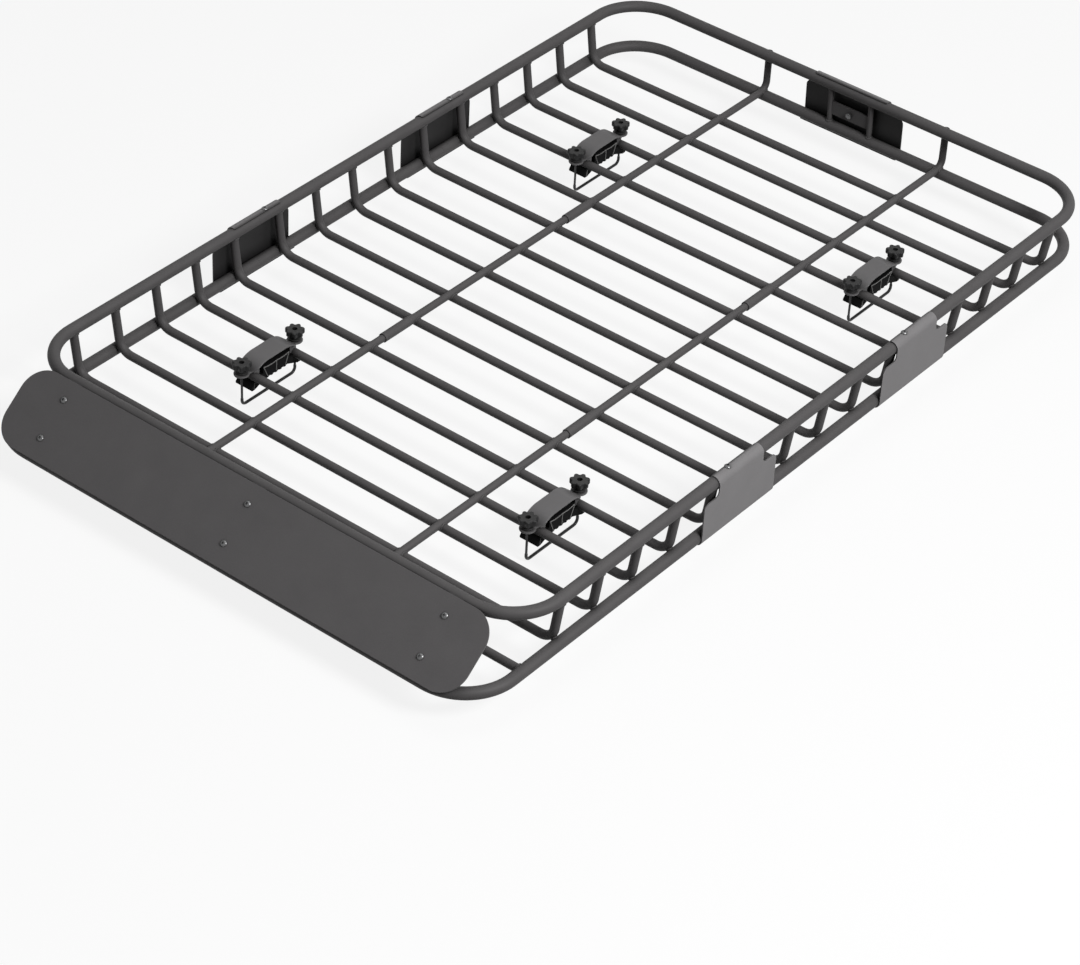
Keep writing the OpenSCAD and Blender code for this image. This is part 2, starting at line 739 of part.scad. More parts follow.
module fairing() {
    color([0.33, 0.33, 0.34]) placed() on_slope() difference() {
        translate([0, -fairing_foot, fairing_inner]) linear_extrude(plate_t) fairing_outline();
        fairing_holes(hole_r);
    }
}

// Flat straps between the front rails, coped to both
module fairing_carriers() {
    color([0.31, 0.31, 0.32]) placed() on_slope() difference() {
        for (x = [-1, 0, 1]) translate([x * fairing_screw_x - carrier_w / 2, 0, carrier_top - carrier_t])
            cube([carrier_w, front_slope_length, carrier_t]);
        for (y = [0, front_slope_length]) translate([0, y, 0]) rod_x(rail_r + weld_gap, fairing_w);
        fairing_holes(hole_r);
    }
}

module fairing_screws() {
    color([0.2, 0.2, 0.21]) placed() on_slope() for (p = fairing_screws)
        translate([p[0], p[1], fairing_inner + plate_t + seat_gap]) button_screw(fairing_screw_length);
}

module fairing_nuts() {
    color([0.2, 0.2, 0.21]) placed() on_slope() for (p = fairing_screws)
        translate([p[0], p[1], nut_top - nut_h]) nut();
}

// ---------- clamps ----------
// Each clamp is drawn about the middle of its two cross bars, with z = 0 at the bars' centre

module at_clamp(i) {
    placed() translate([clamp_spots[i][0], clamp_spots[i][1], 0]) children();
}

// A profile in the YZ plane, extruded across the clamp
module across(width) {
    translate([-width / 2, 0, 0]) rotate([90, 0, 90]) linear_extrude(width) children();
}

// The arch of the cover, inset by a wall; its foot lies at the given height
module arch(inset, foot) {
    r = cover_r - inset;
    translate([-crown_half, foot]) square([2 * crown_half, crown_z - inset - foot]);
    for (s = [0, 1]) mirror([s, 0]) intersection() {
        translate([crown_half, crown_z - cover_r]) circle(r = r);
        translate([crown_half, foot]) square([cover_half - crown_half, crown_z]);
    }
}

// The cover seen from above: a body that tapers to two round ears
module cover_plan() {
    half = clamp_w / 2;
    shoulder = leg_half - ear_r;
    polygon([[-half, -shoulder], [-ear_r, -leg_half], [ear_r, -leg_half], [half, -shoulder],
        [half, shoulder], [ear_r, leg_half], [-ear_r, leg_half], [-half, shoulder]]);
    for (s = [-1, 1]) translate([0, s * leg_half]) circle(r = ear_r);
}

module leg_holes(r) {
    for (s = [-1, 1]) translate([0, s * leg_half, -cut]) cylinder(r = r, h = crown_z);
}

module bar_saddles() {
    for (s = [-1, 1]) translate([0, s * bar_half, 0]) rod_x(bar_clear_r, 2 * clamp_w);
}

module clamp_cover(i) {
    skirt_z = ear_z - 2 * cover_wall;
    color([0.4, 0.4, 0.41]) at_clamp(i) difference() {
        intersection() {
            union() {
                across(clamp_w) arch(0, skirt_z);
                translate([-clamp_w / 2, -leg_half - ear_r, ear_z]) cube([clamp_w, leg_span + 2 * ear_r, ear_t]);
            }
            translate([0, 0, -cut]) linear_extrude(2 * crown_z) cover_plan();
        }
        across(clamp_w - 2 * cover_wall) arch(cover_wall, -cut);
        translate([-clamp_w, -saddle_in, -cut]) cube([2 * clamp_w, 2 * saddle_in, boss_z + clamp_gap + cut]);
        bar_saddles();
        leg_holes(thread_d / 2 + hole_gap);
    }
}

// The pad's side: toes, the raised seat between them, and a boss between the cross bars
module pad_outline() {
    toe_heel = toe_tip - toe_bevel - toe_foot;
    for (s = [0, 1]) mirror([s, 0]) polygon([[0, -seat_depth], [seat_half, -seat_depth],
        [toe_heel, -toe_depth], [toe_tip - toe_bevel, -toe_depth], [toe_tip, toe_bevel - toe_depth],
        [toe_tip, toe_bevel + toe_h - toe_depth], [bar_half, 0], [boss_half, 0], [boss_half, boss_z],
        [0, boss_z - boss_dip]]);
}

// A raised line on the pad's side, between two points
module side_line(a, b) {
    d = b - a;
    translate(a) rotate([0, 0, atan2(d[1], d[0])]) translate([0, -side_line_w / 2])
        square([norm(d), side_line_w]);
}

module clamp_pad(i) {
    inset = side_line_w / 2;
    line_foot = inset - seat_depth;
    corner = [boss_half - inset, boss_z - inset];
    middle = [0, boss_z - boss_dip - inset];
    seat_steps = floor(seat_half / (2 * seat_rib_w));
    color([0.06, 0.06, 0.065]) at_clamp(i) difference() {
        union() {
            across(pad_w) pad_outline();
            for (s = [0, 1]) mirror([0, s, 0]) across(pad_w + 2 * side_line_h) {
                side_line(corner, [side_line_foot, line_foot]);
                side_line(middle, corner);
                side_line(middle, [0, line_foot]);
            }
            for (k = [-seat_steps : seat_steps])
                translate([-pad_w / 2, (2 * k - 0.5) * seat_rib_w, -seat_depth - seat_rib_h])
                    cube([pad_w, seat_rib_w, seat_rib_h + cut]);
        }
        bar_saddles();
    }
}

// The U-bolt: thick rod at the foot and its bends, thinner threaded legs above
module clamp_ubolt(i) {
    straight = leg_span - 2 * rod_bend_r;
    color([0.12, 0.12, 0.125]) at_clamp(i) translate([0, 0, -foot_depth]) {
        rotate([90, 0, 0]) cylinder(d = rod_d, h = straight, center = true);
        for (s = [0, 1]) mirror([0, s, 0]) {
            translate([0, straight / 2, rod_bend_r]) rotate([90, 0, 90]) rotate([0, 0, -90])
                rotate_extrude(angle = 90) translate([rod_bend_r, 0]) circle(d = rod_d);
            translate([0, leg_half, rod_bend_r]) cylinder(d = rod_d, h = thick_leg - rod_bend_r);
            translate([0, leg_half, thick_leg]) cylinder(d = thread_d, h = leg_length - thick_leg);
        }
    }
}

module clamp_washers(i) {
    color([0.2, 0.2, 0.21]) at_clamp(i) for (s = [-1, 1]) translate([0, s * leg_half, washer_z]) difference() {
        cylinder(d = washer_d, h = washer_t);
        translate([0, 0, -cut]) cylinder(r = thread_d / 2 + hole_gap, h = washer_t + 2 * cut);
    }
}

// The star seen from above
module star() {
    circle(r = knob_r - lobe_r + star_web);
    for (k = [0 : lobe_count - 1]) rotate([0, 0, k * 360 / lobe_count]) translate([knob_r - lobe_r, 0])
        circle(r = lobe_r);
}

// A star knob on the leg at the front (-1) or the rear (1)
module clamp_knob(i, end) {
    color([0.07, 0.07, 0.075]) at_clamp(i) translate([0, end * leg_half, knob_z]) difference() {
        union() {
            cylinder(d = collar_d, h = collar_h);
            cylinder(d = neck_d, h = neck_h + cut);
            intersection() {
                translate([0, 0, neck_h]) linear_extrude(star_h) star();
                rotate_extrude() polygon([[0, neck_h], [knob_r - star_bevel_w, neck_h],
                    [knob_r + cut, neck_h + star_bevel_h], [knob_r + cut, knob_h - star_bevel_h],
                    [knob_r - star_bevel_w, knob_h], [0, knob_h]]);
            }
        }
        translate([0, 0, -cut]) cylinder(r = thread_d / 2 + thread_gap, h = knob_h + 2 * cut);
        translate([0, 0, knob_h - recess_h]) cylinder(d = recess_d, h = recess_h + cut);
    }
}

upper_rail_front();
upper_rail_rear();
upper_rail_mid(-1);  // upper_rail_mid_left
upper_rail_mid(1);  // upper_rail_mid_right
lower_rail_front();
lower_rail_rear();
lower_rail_mid(-1);  // lower_rail_mid_left
lower_rail_mid(1);  // lower_rail_mid_right
cross_bars(front_bar_ys);  // cross_bars_front
cross_bars(rear_bar_ys);  // cross_bars_rear
cross_bars_mid(-1);  // cross_bars_mid_left
cross_bars_mid(1);  // cross_bars_mid_right
front_floor_bar();
long_bar_front(-1);  // long_bar_front_left
long_bar_front(1);  // long_bar_front_right
long_bar_mid(-1);  // long_bar_mid_left
long_bar_mid(1);  // long_bar_mid_right
long_bar_rear(-1);  // long_bar_rear_left
long_bar_rear(1);  // long_bar_rear_right
rail_joiners();
cross_bar_joiners();
side_plate(side_plates[0]);  // side_plate_front_right
side_plate(side_plates[1]);  // side_plate_front_left
side_plate(side_plates[2]);  // side_plate_rear_right
side_plate(side_plates[3]);  // side_plate_rear_left
side_plate_screws();
rear_plate();
rear_posts();
rear_strap();
rear_plate_screw();
rear_plate_nut();
fairing();
fairing_carriers();
fairing_screws();
fairing_nuts();
clamp_cover(0);  // cover_front_left
clamp_pad(0);  // pad_front_left
clamp_ubolt(0);  // ubolt_front_left
clamp_washers(0);  // washers_front_left
clamp_knob(0, -1);  // knob_front_left_fore
clamp_knob(0, 1);  // knob_front_left_aft
clamp_cover(1);  // cover_front_right
clamp_pad(1);  // pad_front_right
clamp_ubolt(1);  // ubolt_front_right
clamp_washers(1);  // washers_front_right
clamp_knob(1, -1);  // knob_front_right_fore
clamp_knob(1, 1);  // knob_front_right_aft
clamp_cover(2);  // cover_rear_left
clamp_pad(2);  // pad_rear_left
clamp_ubolt(2);  // ubolt_rear_left
clamp_washers(2);  // washers_rear_left
clamp_knob(2, -1);  // knob_rear_left_fore
clamp_knob(2, 1);  // knob_rear_left_aft
clamp_cover(3);  // cover_rear_right
clamp_pad(3);  // pad_rear_right
clamp_ubolt(3);  // ubolt_rear_right
clamp_washers(3);  // washers_rear_right
clamp_knob(3, -1);  // knob_rear_right_fore
clamp_knob(3, 1);  // knob_rear_right_aft
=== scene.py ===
"""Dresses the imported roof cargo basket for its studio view.

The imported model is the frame: each piece takes its place from the frame's own boxes, in metres, and rides
on one of its bodies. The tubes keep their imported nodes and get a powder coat; the sheet parts, the welds,
the screws and the four clamps are built here with the edges, beads and threads of the real ones.
"""

import logging
import math
from collections.abc import Callable, Sequence
from dataclasses import dataclass
from enum import Enum
from typing import ClassVar

import bmesh
import bpy
import numpy as np
from mathutils import Matrix, Vector


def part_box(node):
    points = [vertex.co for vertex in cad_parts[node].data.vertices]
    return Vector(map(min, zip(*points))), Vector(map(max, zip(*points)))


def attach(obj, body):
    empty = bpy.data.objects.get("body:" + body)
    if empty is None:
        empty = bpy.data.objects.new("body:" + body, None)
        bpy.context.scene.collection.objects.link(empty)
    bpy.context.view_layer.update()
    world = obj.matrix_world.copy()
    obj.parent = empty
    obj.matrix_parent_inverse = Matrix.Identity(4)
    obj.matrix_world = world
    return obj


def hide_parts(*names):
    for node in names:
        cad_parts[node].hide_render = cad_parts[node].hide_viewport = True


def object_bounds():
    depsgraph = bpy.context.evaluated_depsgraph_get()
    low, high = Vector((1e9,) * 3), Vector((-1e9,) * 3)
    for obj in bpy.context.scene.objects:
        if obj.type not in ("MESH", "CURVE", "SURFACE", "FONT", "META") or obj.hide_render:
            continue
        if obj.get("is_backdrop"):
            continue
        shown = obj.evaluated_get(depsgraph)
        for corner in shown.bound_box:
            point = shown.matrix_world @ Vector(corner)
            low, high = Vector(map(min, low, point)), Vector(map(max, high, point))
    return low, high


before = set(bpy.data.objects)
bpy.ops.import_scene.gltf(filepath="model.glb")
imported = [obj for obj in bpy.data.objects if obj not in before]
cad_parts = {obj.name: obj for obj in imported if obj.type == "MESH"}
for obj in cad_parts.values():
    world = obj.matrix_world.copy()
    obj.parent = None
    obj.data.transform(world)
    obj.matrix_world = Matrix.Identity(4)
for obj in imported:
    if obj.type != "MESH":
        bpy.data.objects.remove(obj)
CAD_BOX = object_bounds()

LOG = logging.getLogger("cargo_basket")
MM = 0.001
Colour = tuple[float, float, float]
Point = tuple[float, float]


# -------------------- node effects


class Effect(Enum):
    """The shared surface effects, by the name of their node group."""

    GRAIN = "coat_grain"
    WEAR = "edge_wear"
    DUST = "dust_film"
    # Painted shade on the faces that look into the basket.
    INNER = "inner_painted_shade"
    # Painted shade where pieces meet, from ambient occlusion.
    CREASE = "painted_contact_shade"


class NodeTree:
    """Adds nodes to one tree and joins their sockets."""

    def __init__(self, tree: bpy.types.NodeTree) -> None:
        """Keeps the tree to draw in."""
        self.tree = tree

    def node(self, kind: str, **settings: object) -> bpy.types.Node:
        """Adds a node.

        Args:
            kind: The node's type, without the ShaderNode prefix.
            **settings: Attributes of the node, such as operation.

        Returns:
            The new node.
        """
        made = self.tree.nodes.new(kind if kind.startswith("Node") else "ShaderNode" + kind)
        for key, value in settings.items():
            setattr(made, key, value)
        return made

    def join(self, source: object, target: bpy.types.NodeSocket) -> None:
        """Feeds a socket from another socket or from a plain value.

        Args:
            source: A socket, a number or a colour.
            target: The socket to feed.
        """
        if isinstance(source, bpy.types.NodeSocket):
            self.tree.links.new(source, target)
        else:
            target.default_value = source

    def maths(self, operation: str, first: object, second: object = 0.0, clamp: bool = False) -> object:
        """Adds a Math node.

        Args:
            operation: The node's operation, such as MULTIPLY.
            first: Its first value or socket.
            second: Its second value or socket.
            clamp: True to hold the result between 0 and 1.

        Returns:
            The node's output socket.
        """
        made = self.node("Math", operation=operation, use_clamp=clamp)
        self.join(first, made.inputs[0])
        self.join(second, made.inputs[1])
        return made.outputs[0]

    def noise(self, place: object, scale: object, detail: float) -> object:
        """Adds a Noise Texture.

        Args:
            place: Socket with the place.
            scale: Its scale, or a socket.
            detail: Its detail.

        Returns:
            Its Fac socket, which lies about 0.5.
        """
        made = self.node("TexNoise")
        self.join(place, made.inputs["Vector"])
        self.join(scale, made.inputs["Scale"])
        self.join(detail, made.inputs["Detail"])
        return made.outputs["Fac"]

    def blend(self, share: object, first: object, second: object) -> object:
        """Adds a colour Mix node.

        Args:
            share: Share of the second colour.
            first: The first colour.
            second: The second colour.

        Returns:
            Its Result socket.
        """
        made = self.node("Mix", data_type="RGBA")
        self.join(share, made.inputs[0])
        self.join(first, made.inputs[6])
        self.join(second, made.inputs[7])
        return made.outputs[2]


class EffectLibrary:
    """Builds each shared node group once."""

    def __init__(self) -> None:
        """Starts with no groups."""
        self.groups: dict[Effect, bpy.types.NodeTree] = {}

    def group(self, effect: Effect) -> bpy.types.NodeTree:
        """Gives the node group of an effect, built at the first call.

        Args:
            effect: The effect that is wanted.

        Returns:
            Its node group.
        """
        if effect not in self.groups:
            build = {Effect.GRAIN: self._grain, Effect.WEAR: self._wear, Effect.DUST: self._dust,
                     Effect.INNER: self._inner, Effect.CREASE: self._painted_contact_shade}[effect]
            self.groups[effect] = build()
        return self.groups[effect]

    def _start(self, effect: Effect, inputs: dict[str, str], outputs: dict[str, str]) -> tuple:
        """Makes an empty group with its sockets.

        Args:
            effect: The effect that the group is for.
            inputs: The kind of each input socket, by name.
            outputs: The kind of each output socket, by name.

        Returns:
            The drawing helper, the group's input sockets and its output sockets.
        """
        tree = bpy.data.node_groups.new(effect.value, "ShaderNodeTree")
        for way, sockets in (("INPUT", inputs), ("OUTPUT", outputs)):
            for name, kind in sockets.items():
                tree.interface.new_socket(name=name, in_out=way, socket_type="NodeSocket" + kind)
        nodes = NodeTree(tree)
        return nodes, nodes.node("NodeGroupInput").outputs, nodes.node("NodeGroupOutput").inputs

    def _grain(self) -> bpy.types.NodeTree:
        """A coat's or a mould's fine grain over broad, faint blotches.

        Returns:
            The group.
        """
        nodes, given, result = self._start(
            Effect.GRAIN,
            {"Colour": "Color", "Grain": "Float", "Speckle": "Float", "Mottle": "Float",
             "Roughness": "Float"},
            {"Colour": "Color", "Roughness": "Float", "Height": "Float"},
        )
        place = nodes.node("TexCoord").outputs["Object"]
        fine = nodes.noise(place, given["Grain"], 3.0)
        broad = nodes.noise(place, 26.0, 2.0)
        peel = nodes.node("TexVoronoi", feature="SMOOTH_F1")
        nodes.join(place, peel.inputs["Vector"])
        nodes.join(nodes.maths("MULTIPLY", given["Grain"], 0.45), peel.inputs["Scale"])
        speck = nodes.maths("MULTIPLY", nodes.maths("SUBTRACT", fine, 0.5), given["Speckle"])
        blotch = nodes.maths("MULTIPLY", nodes.maths("SUBTRACT", broad, 0.5), given["Mottle"])
        level = nodes.maths("ADD", nodes.maths("ADD", speck, blotch), 1.0)
        tint = nodes.node("VectorMath", operation="SCALE")
        nodes.join(given["Colour"], tint.inputs[0])
        nodes.join(level, tint.inputs["Scale"])
        nodes.join(tint.outputs[0], result["Colour"])
        gloss = nodes.maths("ADD", given["Roughness"], nodes.maths("MULTIPLY", blotch, 0.5))
        nodes.join(nodes.maths("ADD", gloss, nodes.maths("MULTIPLY", speck, 0.6), True), result["Roughness"])
        peel_height = nodes.maths("MULTIPLY", peel.outputs["Distance"], 0.6)
        nodes.join(nodes.maths("ADD", peel_height, nodes.maths("MULTIPLY", fine, 0.5)), result["Height"])
        return nodes.tree

    def _wear(self) -> bpy.types.NodeTree:
        """Rubbed, lighter edges, broken up along their length.

        Returns:
            The group.
        """
        nodes, given, result = self._start(
            Effect.WEAR,
            {"Colour": "Color", "Worn": "Color", "Amount": "Float", "Width": "Float"},
            {"Colour": "Color", "Mask": "Float"},
        )
        rounded = nodes.node("Bevel", samples=4)
        nodes.join(given["Width"], rounded.inputs["Radius"])
        turn = nodes.node("VectorMath", operation="DOT_PRODUCT")
        nodes.join(rounded.outputs[0], turn.inputs[0])
        nodes.join(nodes.node("NewGeometry").outputs["Normal"], turn.inputs[1])
        edge = nodes.maths("MULTIPLY", nodes.maths("SUBTRACT", 1.0, turn.outputs["Value"]), 7.0, True)
        place = nodes.node("TexCoord").outputs["Object"]
        gaps = nodes.maths("MULTIPLY", nodes.maths("SUBTRACT", nodes.noise(place, 90.0, 4.0), 0.3), 2.2, True)
        mask = nodes.maths("MULTIPLY", nodes.maths("MULTIPLY", edge, gaps), given["Amount"], True)
        nodes.join(mask, result["Mask"])
        nodes.join(nodes.blend(mask, given["Colour"], given["Worn"]), result["Colour"])
        return nodes.tree

    def _dust(self) -> bpy.types.NodeTree:
        """A thin film of dust on what faces up.

        Returns:
            The group.
        """
        nodes, given, result = self._start(
            Effect.DUST,
            {"Colour": "Color", "Dust": "Color", "Amount": "Float"},
            {"Colour": "Color", "Mask": "Float"},
        )
        facing = nodes.node("SeparateXYZ")
        nodes.join(nodes.node("NewGeometry").outputs["Normal"], facing.inputs[0])
        up = nodes.maths("POWER", nodes.maths("MAXIMUM", facing.outputs["Z"], 0.0), 2.0)
        place = nodes.node("TexCoord").outputs["Object"]
        patches = nodes.maths("SUBTRACT", nodes.noise(place, 14.0, 5.0), 0.25)
        cloud = nodes.maths("MULTIPLY", patches, 1.6, True)
        mask = nodes.maths("MULTIPLY", nodes.maths("MULTIPLY", up, cloud), given["Amount"], True)
        nodes.join(mask, result["Mask"])
        nodes.join(nodes.blend(mask, given["Colour"], given["Dust"]), result["Colour"])
        return nodes.tree

    def _inner(self) -> bpy.types.NodeTree:
        """Painted shade: blends the colour toward black on the faces that look into the basket.

        Returns:
            The group.
        """
        nodes, given, result = self._start(
            Effect.INNER, {"Colour": "Color", "Amount": "Float"}, {"Colour": "Color"})
        level = nodes.node("VectorMath", operation="MULTIPLY")
        nodes.join(nodes.node("TexCoord").outputs["Object"], level.inputs[0])
        nodes.join((1.0, 1.0, 0.0), level.inputs[1])
        outward = nodes.node("VectorMath", operation="NORMALIZE")
        nodes.join(level.outputs[0], outward.inputs[0])
        turn = nodes.node("VectorMath", operation="DOT_PRODUCT")
        nodes.join(outward.outputs[0], turn.inputs[0])
        nodes.join(nodes.node("NewGeometry").outputs["Normal"], turn.inputs[1])
        inward = nodes.maths("MULTIPLY", turn.outputs["Value"], -2.5, True)
        share = nodes.maths("MULTIPLY", inward, given["Amount"], True)
        nodes.join(nodes.blend(share, given["Colour"], (0.0, 0.0, 0.0, 1.0)), result["Colour"])
        return nodes.tree

    def _painted_contact_shade(self) -> bpy.types.NodeTree:
        """Painted shade where pieces meet and in narrow gaps: ambient occlusion blends the colour toward
        black.

        Returns:
            The group.
        """
        nodes, given, result = self._start(
            Effect.CREASE, {"Colour": "Color", "Amount": "Float", "Reach": "Float"}, {"Colour": "Color"})
        near = nodes.node("AmbientOcclusion", samples=8)
        nodes.join(given["Reach"], near.inputs["Distance"])
        hidden = nodes.maths("SUBTRACT", 1.0, near.outputs["AO"], True)
        share = nodes.maths("MULTIPLY", hidden, given["Amount"], True)
        nodes.join(nodes.blend(share, given["Colour"], (0.002, 0.002, 0.002, 1.0)), result["Colour"])
        return nodes.tree


EFFECTS = EffectLibrary()


# -------------------- finishes


@dataclass(frozen=True)
class Finish:
    """A painted, moulded or plated surface: its colour, gloss, grain, wear and dust, and its painted shade.

    Attributes:
        name: The finish's name.
        colour: Linear base colour.
        roughness: Mean roughness.
        specular: Specular level of the shader.
        metallic: Metallic weight of the shader.
        grain: Grains per metre.
        speckle: How far the grain changes the colour.
        mottle: How far the broad blotches change the colour.
        depth: Height of the grain, in metres.
        worn: Colour of rubbed edges.
        wear: Share of the edge that is rubbed.
        wear_width: Width of the rubbed edge, in metres.
        dust: Share of the dust film on what faces up.
        inner: How far painted shade darkens the faces that look into the basket.
        contact_shade: Share of the painted shade where pieces meet.
        reach: How far from another piece the painted shade reaches, in metres.
        slot: The name of the slot that it stands for, where that isn't its own name; not used.
    """

    name: str
    colour: Colour
    roughness: float = 0.55
    specular: float = 0.3
    metallic: float = 0.0
    grain: float = 900.0
    speckle: float = 0.3
    mottle: float = 0.25
    depth: float = 0.00006
    worn: Colour = (0.2, 0.2, 0.205)
    wear: float = 0.3
    wear_width: float = 0.0008
    dust: float = 0.05
    inner: float = 0.0
    contact_shade: float = 0.9
    reach: float = 0.022
    slot: str = ""

    @property
    def label(self) -> str:
        """The material's name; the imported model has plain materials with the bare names."""
        return f"{self.name}_finish"

    def material(self) -> bpy.types.Material:
        """Gives the material, built at the first call."""
        return bpy.data.materials.get(self.label) or self._build()

    def _build(self) -> bpy.types.Material:
        """Builds the material's nodes.

        Returns:
            The new material.
        """
        made = bpy.data.materials.new(self.label)
        made.use_nodes = True
        made.node_tree.nodes.clear()
        nodes = NodeTree(made.node_tree)
        shader = nodes.node("BsdfPrincipled")
        grain = self._effect(nodes, Effect.GRAIN, Colour=(*self.colour, 1.0), Grain=self.grain,
                             Speckle=self.speckle, Mottle=self.mottle, Roughness=self.roughness)
        # Painted shade on the faces that look into the basket.
        inner = self._effect(nodes, Effect.INNER, Colour=grain.outputs["Colour"], Amount=self.inner)
        wear = self._effect(nodes, Effect.WEAR, Colour=inner.outputs["Colour"], Worn=(*self.worn, 1.0),
                            Amount=self.wear, Width=self.wear_width)
        dust = self._effect(nodes, Effect.DUST, Colour=wear.outputs["Colour"], Dust=(0.42, 0.41, 0.39, 1.0),
                            Amount=self.dust)
        # Painted shade: the colour darkens toward black where pieces meet and in narrow gaps.
        contact_shade = self._effect(nodes, Effect.CREASE, Colour=dust.outputs["Colour"], Amount=self.contact_shade,
                              Reach=self.reach)
        nodes.join(contact_shade.outputs["Colour"], shader.inputs["Base Color"])
        rubbed = nodes.maths("MULTIPLY", wear.outputs["Mask"], -0.15)
        dulled = nodes.maths("ADD", nodes.maths("MULTIPLY", dust.outputs["Mask"], 0.6), rubbed)
        nodes.join(nodes.maths("ADD", grain.outputs["Roughness"], dulled, True), shader.inputs["Roughness"])
        nodes.join(self.metallic, shader.inputs["Metallic"])
        nodes.join(self.specular, shader.inputs["Specular IOR Level"])
        bump = nodes.node("Bump")
        nodes.join(1.0, bump.inputs["Strength"])
        nodes.join(self.depth, bump.inputs["Distance"])
        nodes.join(grain.outputs["Height"], bump.inputs["Height"])
        nodes.join(bump.outputs["Normal"], shader.inputs["Normal"])
        nodes.join(shader.outputs["BSDF"], nodes.node("OutputMaterial").inputs["Surface"])
        return made

    def _effect(self, nodes: NodeTree, effect: Effect, **given: object) -> bpy.types.Node:
        """Places a shared effect.

        Args:
            nodes: The material's tree.
            effect: The effect to place.
            **given: What feeds each of its inputs, by name.

        Returns:
            The group node.
        """
        made = nodes.node("Group")
        made.node_tree = EFFECTS.group(effect)
        for name, source in given.items():
            nodes.join(source, made.inputs[name])
        return made


TUBE_COAT = Finish("tube_coat", (0.075, 0.072, 0.073), specular=0.15)
# The plate coat's inner faces get painted shade through its inner share.
PLATE_COAT = Finish("plate_coat", (0.185, 0.18, 0.183), roughness=0.5, specular=0.15, mottle=0.2, wear=0.4,
                    inner=0.88)
FAIRING_COAT = Finish("fairing_coat", (0.102, 0.098, 0.1), roughness=0.5, specular=0.15,
                      mottle=0.15, wear=0.35)
COVER_COAT = Finish("cover_coat", (0.115, 0.112, 0.114), roughness=0.42, specular=0.2,
                    grain=1400.0, speckle=0.12, mottle=0.1, depth=0.00003)
PAD_RUBBER = Finish("pad_rubber", (0.004, 0.004, 0.0042), roughness=0.7, specular=0.05,
                    grain=1600.0, speckle=0.4, mottle=0.4, worn=(0.04, 0.04, 0.04), wear=0.4,
                    wear_width=0.0006, dust=0.01)
# Painted highlight: a lighter copy of the pad rubber, for the raised lines that catch the light.
PAD_LINE_HIGHLIGHT = Finish("pad_line_highlight", (0.15, 0.148, 0.146), roughness=0.7, specular=0.15, grain=1600.0, speckle=0.2,
                   mottle=0.3, wear=0.0, dust=0.0, contact_shade=0.0, slot="pad_rubber")
ROD_BLACK = Finish("rod_black", (0.018, 0.018, 0.019), roughness=0.3, specular=0.45, metallic=0.35,
                   grain=2200.0, speckle=0.3, worn=(0.3, 0.3, 0.3), wear=0.2, dust=0.02, depth=0.00002)
KNOB_PLASTIC = Finish("knob_plastic", (0.016, 0.016, 0.0165), roughness=0.5, specular=0.2,
                      grain=1800.0, speckle=0.4, worn=(0.08, 0.08, 0.08), wear=0.25, dust=0.06,
                      depth=0.00005)
SCREW_BLACK = Finish("screw_black", (0.13, 0.13, 0.132), roughness=0.3, specular=0.5, metallic=0.7,
                     grain=2600.0, speckle=0.2, worn=(0.4, 0.4, 0.4), wear=0.6, wear_width=0.0004,
                     dust=0.02, depth=0.00001)
JOINER_STEEL = Finish("joiner_steel", (0.42, 0.42, 0.43), roughness=0.35, metallic=0.4, grain=1200.0,
                      speckle=0.25, mottle=0.2, worn=(0.6, 0.6, 0.6), wear=0.2, contact_shade=0.0, depth=0.00002)


# -------------------- mesh shapes


class Shape:
    """Points and faces of one mesh, gathered in the row frame."""

    def __init__(self) -> None:
        """Starts empty."""
        self.points: list[Vector] = []
        self.faces: list[tuple[int, ...]] = []

    def loft(self, rings: Sequence[Sequence[Sequence[float]]], loop: bool = False, caps: bool = True) -> None:
        """Joins rings of equally many points with a skin.

        Args:
            rings: The rings, in order.
            loop: True to join the last ring to the first.
            caps: True to close the first and the last ring with a face.
        """
        first, count = len(self.points), len(rings[0])
        self.points += [Vector(point) for ring in rings for point in ring]
        starts = [first + count * index for index in range(len(rings))]
        pairs = list(zip(starts, starts[1:])) + ([(starts[-1], starts[0])] if loop else [])
        for low, high in pairs:
            for side in range(count):
                after = (side + 1) % count
                self.faces.append((low + side, low + after, high + after, high + side))
        if caps and not loop:
            self.faces.append(tuple(range(starts[0] + count - 1, starts[0] - 1, -1)))
            self.faces.append(tuple(range(starts[-1], starts[-1] + count)))

    def prism(self, outline: Sequence[Point], low: float, high: float) -> None:
        """Adds a prism along +Z over an outline in X and Y."""
        self.loft([[(x, y, low) for x, y in outline], [(x, y, high) for x, y in outline]])

    def lathe(self, profile: Sequence[Point], segments: int = 32) -> None:
        """Adds a body turned about Z.

        Args:
            profile: Radius and height of each ring, from one cap to the other.
            segments: Points in a ring.
        """
        self.loft([circle(radius, height, segments) for radius, height in profile])

    def add(self, other: "Shape", place: Matrix) -> None:
        """Adds another shape, moved by a matrix."""
        first = len(self.points)
        self.points += [place @ point for point in other.points]
        self.faces += [tuple(first + index for index in face) for face in other.faces]

    def moved(self, place: Matrix) -> "Shape":
        """Gives a copy of the shape, moved by a matrix."""
        made = Shape()
        made.add(self, place)
        return made

    def mesh(self, name: str, sharp: float) -> bpy.types.Mesh:
        """Makes the mesh, its faces turned outward.

        Args:
            name: The mesh's name.
            sharp: Angle in degrees over which an edge is drawn sharp.

        Returns:
            The new mesh.
        """
        made = bpy.data.meshes.new(name)
        made.from_pydata([tuple(point) for point in self.points], [], self.faces)
        made.validate()
        skin = bmesh.new()
        skin.from_mesh(made)
        bmesh.ops.recalc_face_normals(skin, faces=skin.faces)
        skin.to_mesh(made)
        skin.free()
        made.shade_smooth()
        made.set_sharp_from_angle(angle=math.radians(sharp))
        return made


